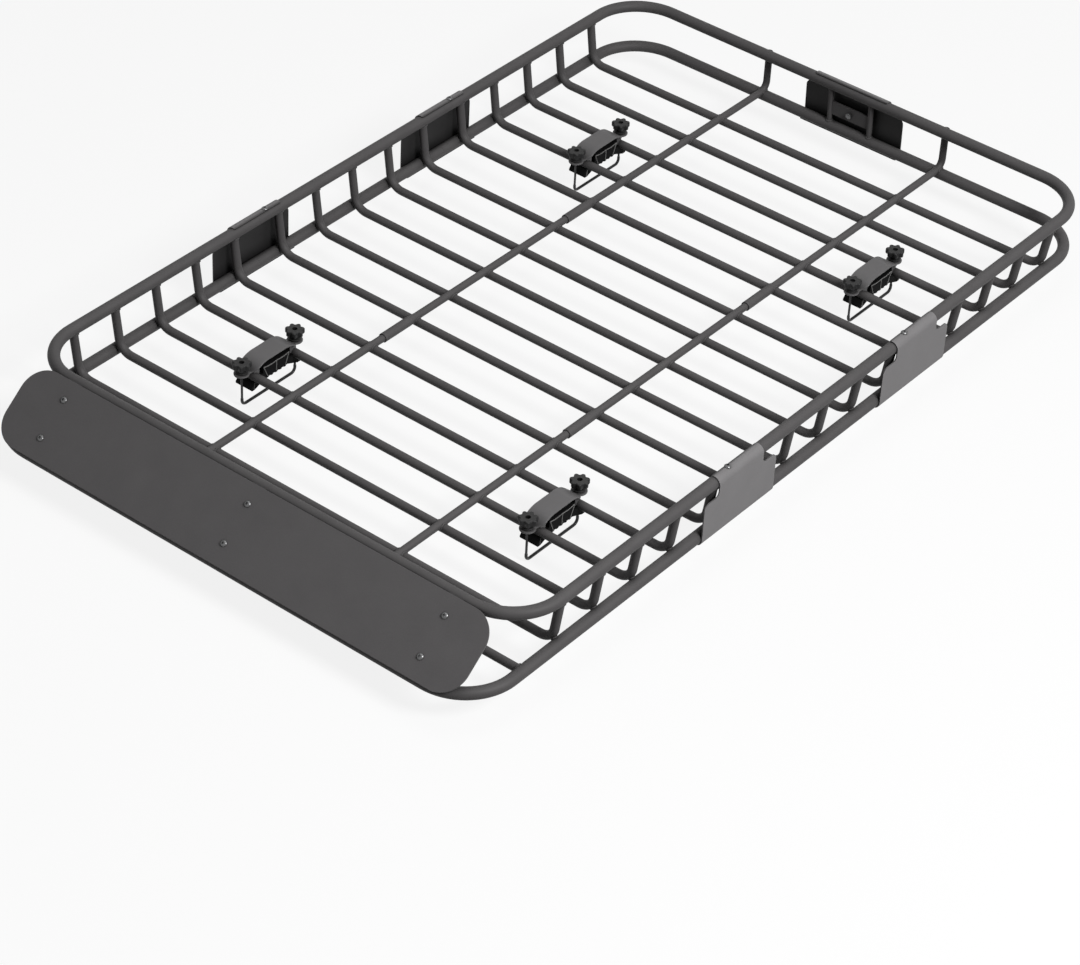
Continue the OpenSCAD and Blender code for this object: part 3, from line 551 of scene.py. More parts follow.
def circle(radius: float, height: float, segments: int = 32) -> list[tuple[float, float, float]]:
    """Gives a level ring of points about Z."""
    turns = [math.tau * index / segments for index in range(segments)]
    return [(radius * math.cos(turn), radius * math.sin(turn), height) for turn in turns]


def arc(centre: Point, radius: float, start: float, end: float, steps: int) -> list[Point]:
    """Gives points on an arc.

    Args:
        centre: The arc's centre.
        radius: Its radius.
        start: Angle of its first point, in degrees.
        end: Angle of its last point, in degrees.
        steps: Number of chords.

    Returns:
        The points, in order.
    """
    turns = [math.radians(start + (end - start) * index / steps) for index in range(steps + 1)]
    return [(centre[0] + radius * math.cos(turn), centre[1] + radius * math.sin(turn)) for turn in turns]


def sweep(path: np.ndarray, up: np.ndarray, radii: Sequence[float], segments: int = 12) -> list[list]:
    """Gives the rings of a round bar along a path.

    Args:
        path: The centre line's points.
        up: A direction at each point, not along the path.
        radii: The bar's radius at each point.
        segments: Points in a ring.

    Returns:
        One ring for each point of the path.
    """
    tangent = np.gradient(path, axis=0)
    tangent /= np.linalg.norm(tangent, axis=1, keepdims=True)
    side = np.cross(tangent, up)
    side /= np.linalg.norm(side, axis=1, keepdims=True)
    top = np.cross(side, tangent)
    turns = np.arange(segments) * math.tau / segments
    spokes = np.cos(turns)[None, :, None] * side[:, None, :] + np.sin(turns)[None, :, None] * top[:, None, :]
    return (path[:, None, :] + np.asarray(radii)[:, None, None] * spokes).tolist()


@dataclass(frozen=True)
class Softening:
    """How a piece's edges are broken.

    Attributes:
        width: Width of the bevel, in metres; 0 for none.
        segments: Steps in the bevel.
        angle: Edges sharper than this many degrees are bevelled.
    """

    width: float = 0.0
    segments: int = 2
    angle: float = 40.0


def add_piece(name: str, shape: Shape, body: str, finish: Finish, edges: Softening = Softening(),
              replaces: Sequence[str] = (), sharp: float = 40.0) -> bpy.types.Object:
    """Puts a shape in the scene as a piece that rides on a body.

    Args:
        name: The piece's name.
        shape: Its shape, in the row frame.
        body: The body that it rides on.
        finish: Its finish.
        edges: How its edges are broken.
        replaces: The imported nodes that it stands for.
        sharp: Angle in degrees over which an edge is drawn sharp.

    Returns:
        The new object.
    """
    piece = bpy.data.objects.new(name, shape.mesh(name, sharp))
    bpy.context.scene.collection.objects.link(piece)
    piece.data.materials.append(finish.material())
    if edges.width:
        bevel = piece.modifiers.new("edges", "BEVEL")
        bevel.width, bevel.segments = edges.width, edges.segments
        bevel.limit_method, bevel.angle_limit = "ANGLE", math.radians(edges.angle)
        bevel.harden_normals = True
    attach(piece, body)
    finish.slot or finish.name
    if replaces:
        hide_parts(*replaces)
    LOG.info("%s: %d faces on %s", name, len(piece.data.polygons), body)
    return piece


# -------------------- basket layout


@dataclass(frozen=True)
class Layout:
    """Centre lines of the basket's tubes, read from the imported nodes' boxes.

    Attributes:
        cross_r: Radius of the front and rear cross bars.
        mid_cross_r: Radius of the middle cross bars and of the floor bar.
        long_r: Radius of the long bars.
        bars: Cross bars in each section.
        lean: Outward lean of the legs, in degrees.
    """

    cross_r: float = 7.25 * MM
    mid_cross_r: float = 7.0 * MM
    long_r: float = 6.3 * MM
    bars: int = 5
    lean: float = 7.8

    @property
    def rail_r(self) -> float:
        """Radius of the rails."""
        low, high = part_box("upper_rail_mid_left")
        return (high[0] - low[0]) / 2

    @property
    def rail_x(self) -> float:
        """Distance of the side rails' centres from the centre line."""
        return -self.middle("upper_rail_mid_left")[0]

    @property
    def upper_z(self) -> float:
        """Height of the upper rail's centre."""
        return self.middle("upper_rail_mid_left")[2]

    @property
    def lower_z(self) -> float:
        """Height of the lower rail's centre."""
        return self.middle("lower_rail_mid_left")[2]

    @property
    def bar_z(self) -> float:
        """Height of the front and rear cross bars' centres."""
        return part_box("cross_bars_front")[0][2] + self.cross_r

    @property
    def mid_bar_z(self) -> float:
        """Height of the middle cross bars' centres."""
        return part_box("cross_bars_mid_left")[0][2] + self.mid_cross_r

    @property
    def long_x(self) -> float:
        """Distance of the long bars from the centre line."""
        return -self.middle("long_bar_mid_left")[0]

    @property
    def long_z(self) -> float:
        """Height of the long bars' centres."""
        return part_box("long_bar_front_left")[1][2] - self.long_r

    @property
    def floor_bar_y(self) -> float:
        """Place of the straight floor bar along the car."""
        return self.middle("front_floor_bar")[1]

    @property
    def upper_front_y(self) -> float:
        """Place of the upper front rail along the car."""
        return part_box("upper_rail_front")[0][1] + self.rail_r

    @property
    def lower_front_y(self) -> float:
        """Place of the lower front rail along the car."""
        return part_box("lower_rail_front")[0][1] + self.rail_r

    @property
    def upper_rear_y(self) -> float:
        """Place of the upper rear rail along the car."""
        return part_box("upper_rail_rear")[1][1] - self.rail_r

    @property
    def lower_rear_y(self) -> float:
        """Place of the lower rear rail along the car."""
        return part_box("lower_rail_rear")[1][1] - self.rail_r

    @staticmethod
    def middle(node: str) -> Vector:
        """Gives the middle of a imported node's box."""
        low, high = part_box(node)
        return (Vector(low) + Vector(high)) / 2

    def bar_ys(self, node: str, radius: float) -> list[float]:
        """Gives the places of a section's cross bars along the car.

        Args:
            node: The section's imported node.
            radius: The radius of its bars.

        Returns:
            The places, from front to rear.
        """
        low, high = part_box(node)
        return np.linspace(low[1] + radius, high[1] - radius, self.bars).tolist()

    def sections(self) -> list[tuple[list[float], float, float]]:
        """Lists the sections of cross bars.

        Returns:
            Each section's bar places, their height and their radius.
        """
        return [
            (self.bar_ys("cross_bars_front", self.cross_r), self.bar_z, self.cross_r),
            (self.bar_ys("cross_bars_mid_left", self.mid_cross_r), self.mid_bar_z, self.mid_cross_r),
            (self.bar_ys("cross_bars_rear", self.cross_r), self.bar_z, self.cross_r),
        ]


LAYOUT = Layout()


# -------------------- weld beads


@dataclass(frozen=True)
class Run:
    """A stretch of round tube.

    Attributes:
        centres: Points of its centre line.
        sides: A direction square to the line at each point.
        tops: The direction square to both at each point.
        radius: Its radius.
    """

    centres: np.ndarray
    sides: np.ndarray
    tops: np.ndarray
    radius: float

    @classmethod
    def straight(cls, start: Sequence[float], end: Sequence[float], radius: float) -> "Run":
        """Gives a straight stretch between two points.

        Args:
            start: The first point.
            end: The last point.
            radius: The tube's radius.

        Returns:
            The stretch.
        """
        start, end = np.array(start, float), np.array(end, float)
        steps = max(8, int(np.linalg.norm(end - start) / (0.5 * MM)))
        centres = start + (end - start) * np.linspace(0, 1, steps)[:, None]
        ahead = (end - start) / np.linalg.norm(end - start)
        side = np.cross(ahead, [0, 1, 0] if abs(ahead[1]) < 0.9 else [0, 0, 1])
        side /= np.linalg.norm(side)
        top = np.cross(side, ahead)
        return cls(centres, np.tile(side, (steps, 1)), np.tile(top, (steps, 1)), radius)

    @classmethod
    def bend(cls, centre: Sequence[float], bend_r: float, start: float, end: float, radius: float,
             plane: tuple[Sequence[float], Sequence[float]]) -> "Run":
        """Gives a bent stretch.

        Args:
            centre: The bend's centre.
            bend_r: Radius of its centre line.
            start: Angle of its start in the plane, in degrees.
            end: Angle of its end, in degrees.
            radius: The tube's radius.
            plane: The plane's two directions.

        Returns:
            The stretch.
        """
        first, second = np.array(plane[0], float), np.array(plane[1], float)
        turns = np.radians(np.linspace(start, end, max(12, int(abs(end - start)))))[:, None]
        out = np.cos(turns) * first + np.sin(turns) * second
        across = np.tile(np.cross(first, second), (len(turns), 1))
        return cls(np.array(centre, float) + bend_r * out, out, across, radius)

    def skin(self, segments: int) -> np.ndarray:
        """Gives the tube's surface.

        Args:
            segments: Points round it.

        Returns:
            A grid of points, along it and round it.
        """
        turns = np.arange(segments) * math.tau / segments
        spokes = (np.cos(turns)[None, :, None] * self.sides[:, None, :]
                  + np.sin(turns)[None, :, None] * self.tops[:, None, :])
        return self.centres[:, None, :] + self.radius * spokes


@dataclass(frozen=True)
class Rod:
    """A long straight tube that another one is welded to.

    Attributes:
        point: A point on its axis.
        along: The direction of its axis.
        radius: Its radius.
    """

    point: tuple[float, float, float]
    along: tuple[float, float, float]
    radius: float

    def outward(self, points: np.ndarray) -> np.ndarray:
        """Gives the vector from the rod's axis to each point."""
        along = np.array(self.along, float)
        offset = points - np.array(self.point, float)
        return offset - (offset @ along)[..., None] * along


@dataclass(frozen=True)
class WeldBeads:
    """Rippled weld beads along the lines where tubes meet.

    Attributes:
        radius: Radius of a bead.
        pitch: Length of one ripple.
        ripple: Depth of a ripple, as a share of the radius.
        step: Distance between the rings of a bead.
        segments: Points in a ring.
        reach: Gap between the tubes at the line that a bead follows.
    """

    radius: float = 1.9 * MM
    pitch: float = 2.6 * MM
    ripple: float = 0.16
    step: float = 0.65 * MM
    segments: int = 8
    reach: float = 0.3 * MM

    def along_seam(self, run: Run, rod: Rod, reach: float | None = None) -> Shape:
        """Lays beads on the lines where a tube meets a rod.

        Args:
            run: The tube.
            rod: What it is welded to.
            reach: Gap at the lines that the beads follow.

        Returns:
            The beads.
        """
        made = Shape()
        gap = self.reach if reach is None else reach
        for line in self._contours(run.skin(48), rod, rod.radius + gap):
            self._bead(made, line, rod)
        return made

    def _contours(self, grid: np.ndarray, rod: Rod, distance: float) -> list[np.ndarray]:
        """Traces the lines on a surface that lie at a distance from a rod.

        Args:
            grid: The surface's points, along it and round it.
            rod: The rod.
            distance: The distance from its axis.

        Returns:
            The lines, each as a row of points.
        """
        level = np.linalg.norm(rod.outward(grid), axis=2) - distance
        columns = level.shape[1]
        spots: dict[tuple, np.ndarray] = {}
        links: dict[tuple, list[tuple]] = {}

        def crossing(a: tuple[int, int], b: tuple[int, int]) -> tuple | None:
            """Finds the crossing between two grid points and keeps its place.

            Args:
                a: The first point's row and column.
                b: The second point's.

            Returns:
                The crossing's key, or None where there is none.
            """
            if (level[a] > 0) == (level[b] > 0):
                return None
            key = (min(a, b), max(a, b))
            share = level[a] / (level[a] - level[b])
            spots[key] = grid[a] + share * (grid[b] - grid[a])
            return key

        signs = level > 0
        ahead = np.roll(signs, -1, axis=1)
        mixed = (signs[:-1] != signs[1:]) | (signs[:-1] != ahead[:-1]) | (signs[:-1] != ahead[1:])
        for row, column in np.argwhere(mixed):
            row, column, after = int(row), int(column), (int(column) + 1) % columns
            corners = [(row, column), (row, after), (row + 1, after), (row + 1, column)]
            keys = [crossing(corners[i], corners[(i + 1) % 4]) for i in range(4)]
            keys = [key for key in keys if key]
            for first, second in zip(keys[::2], keys[1::2]):
                links.setdefault(first, []).append(second)
                links.setdefault(second, []).append(first)
        return self._chains(spots, links)

    @staticmethod
    def _chains(spots: dict[tuple, np.ndarray], links: dict[tuple, list[tuple]]) -> list[np.ndarray]:
        """Strings linked crossings into lines.

        Args:
            spots: Each crossing's place.
            links: The neighbours of each crossing.

        Returns:
            The lines; a closed one ends on its first point.
        """
        lines, unused = [], set(links)
        ends = sorted(key for key in links if len(links[key]) == 1)
        for start in ends + sorted(links):
            if start not in unused:
                continue
            chain, key = [start], start
            unused.discard(start)
            while True:
                nexts = [other for other in links[key] if other in unused]
                if not nexts:
                    break
                key = nexts[0]
                unused.discard(key)
                chain.append(key)
            if start in links[key] and len(chain) > 3:
                chain.append(start)
            lines.append(np.array([spots[key] for key in chain]))
        return lines

    def _bead(self, made: Shape, line: np.ndarray, rod: Rod) -> None:
        """Adds one bead to a shape.

        Args:
            made: The shape.
            line: The line that the bead follows.
            rod: The rod that it lies on.
        """
        lengths = np.concatenate([[0], np.cumsum(np.linalg.norm(np.diff(line, axis=0), axis=1))])
        if lengths[-1] < 6 * self.radius:
            return
        closed = np.linalg.norm(line[0] - line[-1]) < 1e-9
        steps = int(lengths[-1] / self.step)
        at = np.linspace(0, lengths[-1], steps + 1)[: steps + (0 if closed else 1)]
        path = np.column_stack([np.interp(at, lengths, line[:, axis]) for axis in range(3)])
        waves = round(lengths[-1] / self.pitch)
        swell = np.abs(np.sin(at / lengths[-1] * waves * math.pi))
        radii = self.radius * (1 - self.ripple + self.ripple * swell)
        if closed:
            path = np.vstack([path[-2:], path, path[:2]])
            closed = np.concatenate([radii[-2:], radii, radii[:2]])
            rings = sweep(path, rod.outward(path), closed, self.segments)
            made.loft(rings[2:-2], loop=True)
        else:
            radii[[0, -1]] *= 0.4
            radii[[1, -2]] *= 0.75
            made.loft(sweep(path, rod.outward(path), radii, self.segments))


@dataclass(frozen=True)
class Basket:
    """The welds and lips of the basket's tubes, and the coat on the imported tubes.

    Attributes:
        weld_gap: Gap between tubes under a bead.
        low_reach: Gap at the line of a bead under a cross bar's bend.
        leg_stub: Length of a leg or a long bar's nose that its bead is traced on.
        cross_stub: Length of a long bar on each side of a crossing, for the same.
        floor_stub: Length of the floor bar's end, for the same.
        post_stub: Share of a post at each end, for the same.
        sleeve_r: Outer radius of a long bar's expanded mouth.
        wall: Wall of the tubes.
        lip_r: Radius of the rolled lip at the mouth.
        post_r: Radius of the rear posts.
        post_x: Distance of each post from the centre line.
        riser_bend_r: Radius of the rear risers' bend.
        riser_set: How far the risers stand behind the upper rear rail's centre.
        beads: The beads.
        coats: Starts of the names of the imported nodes, by their finish.
    """

    weld_gap: float = 0.15 * MM
    low_reach: float = 1.3 * MM
    leg_stub: float = 22.0 * MM
    cross_stub: float = 14.0 * MM
    floor_stub: float = 24.0 * MM
    post_stub: float = 0.25
    sleeve_r: float = 8.0 * MM
    wall: float = 1.2 * MM
    lip_r: float = 0.75 * MM
    post_r: float = 5.0 * MM
    post_x: float = 42.0 * MM
    riser_bend_r: float = 18.0 * MM
    riser_set: float = 13.9 * MM
    beads: WeldBeads = WeldBeads()

    coats: ClassVar[dict[str, tuple[str, ...]]] = {
        "tube_coat": ("upper_rail_", "lower_rail_", "cross_bars_", "front_floor_bar", "long_bar_",
                      "rear_posts", "rear_strap", "fairing_carriers"),
        "joiner_steel": ("rail_joiners", "cross_bar_joiners"),
    }

    def build(self) -> None:
        """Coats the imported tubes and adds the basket's welds and lips."""
        self._coat_tubes()
        self._leg_welds()
        self._long_bar_welds()
        self._end_welds()
        self._mouth_lips()

    def _coat_tubes(self) -> None:
        """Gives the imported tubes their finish."""
        for finish in (TUBE_COAT, JOINER_STEEL):
            for node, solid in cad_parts.items():
                if node.startswith(self.coats[finish.name]):
                    for place in solid.material_slots:
                        place.material = finish.material()

    def _bend(self, bar_z: float, radius: float) -> tuple[float, float]:
        """Gives the centre and radius of a cross bar's bend, on the +X side.

        Args:
            bar_z: Height of the bar's centre.
            radius: The bar's radius.

        Returns:
            The place of the bend's centre along X, and the bend's radius.
        """
        lay, lean = LAYOUT, math.radians(LAYOUT.lean)
        corner = lay.rail_x - (lay.upper_z - bar_z) * math.tan(lean)
        slope = math.tan((math.pi / 2 - lean) / 2)
        across, drop = lay.rail_x - corner, bar_z - lay.lower_z
        reach = lay.rail_r + radius + self.weld_gap
        half = slope * across + drop - reach
        bend = (-half + math.sqrt(half**2 - slope**2 * (across**2 + drop**2 - reach**2))) / slope**2
        return corner - slope * bend, bend

    def _leg_welds(self) -> None:
        """Adds the beads at both ends of the cross bars' legs."""
        lay, lean = LAYOUT, math.radians(LAYOUT.lean)
        upper, lower = Shape(), Shape()
        for ys, bar_z, radius in lay.sections():
            centre_x, bend = self._bend(bar_z, radius)
            leg = Vector((math.sin(lean), 0, math.cos(lean)))
            top = Vector((lay.rail_x, ys[0], lay.upper_z))
            run = Run.straight(top - leg * self.leg_stub, top, radius)
            upper_rail = Rod((lay.rail_x, 0, lay.upper_z), (0, 1, 0), lay.rail_r)
            lower_rail = Rod((lay.rail_x, 0, lay.lower_z), (0, 1, 0), lay.rail_r)
            high = self.beads.along_seam(run, upper_rail)
            curve = Run.bend((centre_x, ys[0], bar_z + bend), bend, -90, -lay.lean, radius,
                             ((1, 0, 0), (0, 0, 1)))
            low = self.beads.along_seam(curve, lower_rail, self.low_reach)
            for y in ys:
                for side in (1, -1):
                    place = Matrix.Diagonal((side, 1, 1, 1)) @ Matrix.Translation((0, y - ys[0], 0))
                    upper.add(high, place)
                    lower.add(low, place)
        add_piece("welds_upper_rail", upper, "basket", TUBE_COAT)
        add_piece("welds_lower_rail", lower, "basket", TUBE_COAT)

    def _long_bar_welds(self) -> None:
        """Adds the beads where the long bars cross the others."""
        lay, shape = LAYOUT, Shape()
        bars = [(y, bar_z, radius) for ys, bar_z, radius in lay.sections() for y in ys]
        bars.append((lay.floor_bar_y, lay.lower_z, lay.mid_cross_r))
        for y, bar_z, radius in bars:
            run = Run.straight((lay.long_x, y - self.cross_stub, lay.long_z),
                               (lay.long_x, y + self.cross_stub, lay.long_z), lay.long_r)
            beads = self.beads.along_seam(run, Rod((0, y, bar_z), (1, 0, 0), radius))
            for side in (1, -1):
                shape.add(beads, Matrix.Diagonal((side, 1, 1, 1)))
        add_piece("welds_long_bars", shape, "basket", TUBE_COAT)

    def _end_welds(self) -> None:
        """Adds the beads at the ends of the floor bar, the long bars and the rear posts."""
        lay, shape = LAYOUT, Shape()
        mirror = Matrix.Diagonal((-1, 1, 1, 1))
        floor_bar = Run.straight((lay.rail_x - self.floor_stub, lay.floor_bar_y, lay.lower_z),
                                 (lay.rail_x, lay.floor_bar_y, lay.lower_z), lay.mid_cross_r)
        joints = [(floor_bar, Rod((lay.rail_x, 0, lay.lower_z), (0, 1, 0), lay.rail_r))]
        front_rail = Rod((0, lay.lower_front_y, lay.lower_z), (1, 0, 0), lay.rail_r)
        nose = Run.straight((lay.long_x, lay.lower_front_y + self.leg_stub, lay.long_z),
                            (lay.long_x, lay.lower_front_y, lay.long_z), lay.long_r)
        joints.append((nose, front_rail))
        rear_low = Rod((0, lay.lower_rear_y, lay.lower_z), (1, 0, 0), lay.rail_r)
        rear_high = Rod((0, lay.upper_rear_y, lay.upper_z), (1, 0, 0), lay.rail_r)
        riser_y = lay.upper_rear_y + self.riser_set
        turn_z = lay.long_z + self.riser_bend_r
        turn = Run.bend((lay.long_x, riser_y - self.riser_bend_r, turn_z), self.riser_bend_r, -90, 0,
                        lay.long_r, ((0, 1, 0), (0, 0, 1)))
        riser = Run.straight((lay.long_x, riser_y, turn_z), (lay.long_x, riser_y, lay.upper_z), lay.long_r)
        joints += [(turn, rear_low), (riser, rear_high)]
        for is_high, rod in ((False, rear_low), (True, rear_high)):
            low = Vector((self.post_x, lay.lower_rear_y, lay.lower_z))
            high = Vector((self.post_x, lay.upper_rear_y, lay.upper_z))
            ends = ((low, low.lerp(high, self.post_stub)), (high.lerp(low, self.post_stub), high))[is_high]
            joints.append((Run.straight(*ends, self.post_r), rod))
        for run, rod in joints:
            beads = self.beads.along_seam(run, rod)
            shape.add(beads, Matrix.Identity(4))
            shape.add(beads, mirror)
        add_piece("welds_bar_ends", shape, "basket", TUBE_COAT)

    def _mouth_lips(self) -> None:
        """Adds the rolled lips at the mouths of the long bars' expanded ends."""
        shape = Shape()
        ring = self.sleeve_r - self.wall / 2
        outline = arc((ring, 0.0), self.lip_r, 0, 315, 7)
        lip = Shape()
        lip.loft([circle(radius, height, 40) for radius, height in outline], loop=True)
        for node in ("long_bar_mid_left", "long_bar_mid_right", "long_bar_rear_left", "long_bar_rear_right"):
            low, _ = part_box(node)
            place = Matrix.Translation((LAYOUT.middle(node)[0], low[1] + self.lip_r, LAYOUT.long_z))
            shape.add(lip, place @ Matrix.Rotation(math.pi / 2, 4, "X"))
        add_piece("mouth_lips", shape, "basket", TUBE_COAT)


# -------------------- sheet parts


@dataclass(frozen=True)
class ButtonScrew:
    """A button-head socket screw with its nut.

    Attributes:
        head_d: Diameter of the head.
        head_h: Height of the head.
        socket: Diameter of the socket over its corners.
        socket_h: Depth of the socket.
        side_h: Height of the head's upright side, and width of the flat round its socket.
        foot_round: Width of the round at the head's foot.
        foot_h: Height of that round.
        mouth_round: Width of the round at the socket's mouth.
        mouth_h: Depth of that round.
        drill_h: Depth of the cone under the socket, and radius of its flat tip.
        shank_d: Diameter of the shank.
        thread_h: Depth of the thread.
        nut_af: Width of the nut across its flats.
        nut_h: Height of the nut.
        pitch: Pitch of the thread.
    """

    head_d: float = 11.0 * MM
    head_h: float = 3.3 * MM
    socket: float = 4.6 * MM
    socket_h: float = 2.0 * MM
    side_h: float = 0.5 * MM
    foot_round: float = 0.4 * MM
    foot_h: float = 0.15 * MM
    mouth_round: float = 0.15 * MM
    mouth_h: float = 0.25 * MM
    drill_h: float = 0.3 * MM
    shank_d: float = 6.0 * MM
    thread_h: float = 0.3 * MM
    nut_af: float = 10.0 * MM
    nut_h: float = 5.0 * MM
    pitch: float = 1.0 * MM

    def shape(self, length: float) -> Shape:
        """Builds the screw, head up, its seat at z = 0.

        Args:
            length: Length of the shank.

        Returns:
            The screw.
        """
        made, count, rim = Shape(), 36, self.head_d / 2
        socket_r = self.socket / 2
        mouth, crown = socket_r + self.side_h, self.head_h - self.side_h
        ball = (rim**2 + crown**2) / (2 * crown)
        dome = [(rim - self.foot_round, 0.0), (rim, self.foot_h)]
        for index in range(9):
            radius = rim + (mouth - rim) * index / 8
            dome.append((radius, self.head_h - ball + math.sqrt(ball**2 - radius**2)))
        rings = [circle(radius, height, count) for radius, height in dome]
        lip = dome[-1][1]
        for radius, height in ((socket_r + self.mouth_round, lip), (socket_r, lip - self.mouth_h),
                               (socket_r, lip - self.socket_h)):
            rings.append(self._hexagon(radius, height, count))
        rings.append(circle(self.drill_h, lip - self.socket_h - self.drill_h, count))
        made.loft(rings)
        made.loft(thread(self.shank_d / 2, self.pitch, self.thread_h, -length, 0.0, 20))
        return made

    def nut(self) -> Shape:
        """Builds the nut on z = 0, its corners chamfered at both ends.

        Returns:
            The nut.
        """
        made, count = Shape(), 48
        levels = [(0.0, -0.5 * MM), (0.5 * MM, 0.3 * MM), (0.7 * MM, 0.8 * MM)]
        levels += [(self.nut_h - height, spread) for height, spread in reversed(levels)]
        rings = []
        for height, spread in levels:
            ring = self._hexagon(self.nut_af / 2 / math.cos(math.pi / 6), height, count)
            limit = self.nut_af / 2 + spread
            round_ring = []
            for x, y, z in ring:
                reach = min(limit, math.hypot(x, y))
                round_ring.append(tuple(Vector((x, y, 0)).normalized() * reach + Vector((0, 0, z))))
            rings.append(round_ring)
        made.loft(rings)
        return made

    @staticmethod
    def _hexagon(radius: float, height: float, count: int) -> list[tuple[float, float, float]]:
        """Gives a level hexagonal ring.

        Args:
            radius: Radius over its corners.
            height: Height of the ring.
            count: Number of its points.

        Returns:
            The points.
        """
        ring = []
        for x, y, z in circle(radius, height, count):
            turn = math.atan2(y, x) % (math.pi / 3) - math.pi / 6
            share = math.cos(math.pi / 6) / math.cos(turn)
            ring.append((x * share, y * share, z))
        return ring


def thread(radius: float, pitch: float, depth: float, low: float, high: float, segments: int) -> list[list]:
    """Gives the rings of a threaded rod along Z.

    Args:
        radius: Radius over the crests.
        pitch: Distance from crest to crest.
        depth: Depth of the thread.
        low: Height of the lower end.
        high: Height of the upper end.
        segments: Points in a ring.

    Returns:
        The rings, from the lower end to the upper.
    """
    rows = max(2, int((high - low) / pitch * 4))
    rings = []
    for row in range(rows + 1):
        height = low + (high - low) * row / rows
        fade = min(1.0, (height - low) / pitch, (high - height) / pitch)
        ring = []
        for side in range(segments):
            wave = (height / pitch + side / segments) % 1.0
            reach = radius - depth * (1 - fade * abs(2 * wave - 1))
            turn = math.tau * side / segments
            ring.append((reach * math.cos(turn), reach * math.sin(turn), height))
        rings.append(ring)
    return rings


@dataclass(frozen=True)
class CoverPlate:
    """A sheet that hooks over the upper rail and under the lower one.

    It is cut flat, then wrapped round both rails. Its own frame has +X out of the basket, +Y along the rail
    and +Z up from the lower rail's centre.

    Attributes:
        body_w: Width of the body.
        flange_w: Width of the flange over the upper rail.
        rise: Distance between the rails' centres.
        sheet: Thickness of the sheet.
        gap: Gap between the sheet and the rails.
        shoulder: Height of the shoulders.
        shoulder_r: Corner radius of the shoulders.
        fillet_r: Fillet radius between a shoulder and the flange.
        over: How far the flange wraps past the top of the rail, in degrees.
        under: How far the lip wraps past the bottom of the rail, in degrees.
        corner_r: Radius of the free corners.
        strips: Number of strips in each bend.
    """

    body_w: float
    flange_w: float
    rise: float
    sheet: float = 2.0 * MM
    gap: float = 0.15 * MM
    shoulder: float = 65.0 * MM
    shoulder_r: float = 11.0 * MM
    fillet_r: float = 8.0 * MM
    over: float = 24.0
    under: float = 22.0
    corner_r: float = 2.5 * MM
    strips: int = 14

    @property
    def inner_r(self) -> float:
        """Radius of the sheet's inner face round a rail."""
        return LAYOUT.rail_r + self.gap

    @property
    def outer_r(self) -> float:
        """Radius of the sheet's outer face round a rail."""
        return self.inner_r + self.sheet

    def _outline(self) -> list[Point]:
        """Gives the flat blank.

        Returns:
            Its corners: Y across, and the length along the sheet from the lower rail.
        """
        middle = (self.inner_r + self.outer_r) / 2
        lip = -math.radians(90 + self.under) * middle
        end = self.rise + math.radians(90 + self.over) * middle
        body, flange = self.body_w / 2, self.flange_w / 2
        half = arc((body - self.corner_r, lip + self.corner_r), self.corner_r, -90, 0, 4)
        half += arc((body - self.shoulder_r, self.shoulder - self.shoulder_r), self.shoulder_r, 0, 90, 10)
        half += arc((flange + self.fillet_r, self.shoulder + self.fillet_r), self.fillet_r, 270, 180, 8)
        half += arc((flange - self.corner_r, end - self.corner_r), self.corner_r, 0, 90, 4)
        return half + [(-across, along) for across, along in reversed(half)]

    def _wrapped(self, across: float, along: float, radius: float) -> Vector:
        """Puts a point of the blank on the bent sheet.

        Args:
            across: The point's place across the blank.
            along: Its place along the blank.
            radius: Distance of the wanted face from a rail's centre.

        Returns:
            The point in the plate's frame.
        """
        middle = (self.inner_r + self.outer_r) / 2
        if along < 0:
            turn = along / middle
            return Vector((radius * math.cos(turn), across, radius * math.sin(turn)))
        if along > self.rise:
            turn = (along - self.rise) / middle
            return Vector((radius * math.cos(turn), across, self.rise + radius * math.sin(turn)))
        return Vector((radius, across, along))

    def shape(self) -> Shape:
        """Cuts the blank into strips where it bends, wraps it and gives it its thickness.

        Returns:
            The plate in its own frame.
        """
        blank = bmesh.new()
        blank.faces.new([blank.verts.new((across, along, 0)) for across, along in self._outline()])
        lengths = [point.co.y for point in blank.verts]
        folds = [min(lengths) * index / self.strips for index in range(self.strips)]
        over = max(lengths) - self.rise
        folds += [self.rise + over * index / self.strips for index in range(self.strips)]
        folds += [self.shoulder - self.shoulder_r, self.shoulder]
        for fold in folds:
            bmesh.ops.bisect_plane(blank, geom=blank.verts[:] + blank.edges[:] + blank.faces[:], dist=1e-7,
                                   plane_co=(0, fold, 0), plane_no=(0, 1, 0))
        blank.verts.index_update()
        made, count = Shape(), len(blank.verts)
        for radius in (self.outer_r, self.inner_r):
            made.points += [self._wrapped(point.co.x, point.co.y, radius) for point in blank.verts]
        for face in blank.faces:
            corners = [point.index for point in face.verts]
            made.faces += [tuple(corners), tuple(count + index for index in reversed(corners))]
        for edge in blank.edges:
            if len(edge.link_faces) == 1:
                first, second = (point.index for point in edge.verts)
                made.faces.append((first, second, count + second, count + first))
        blank.free()
        return made


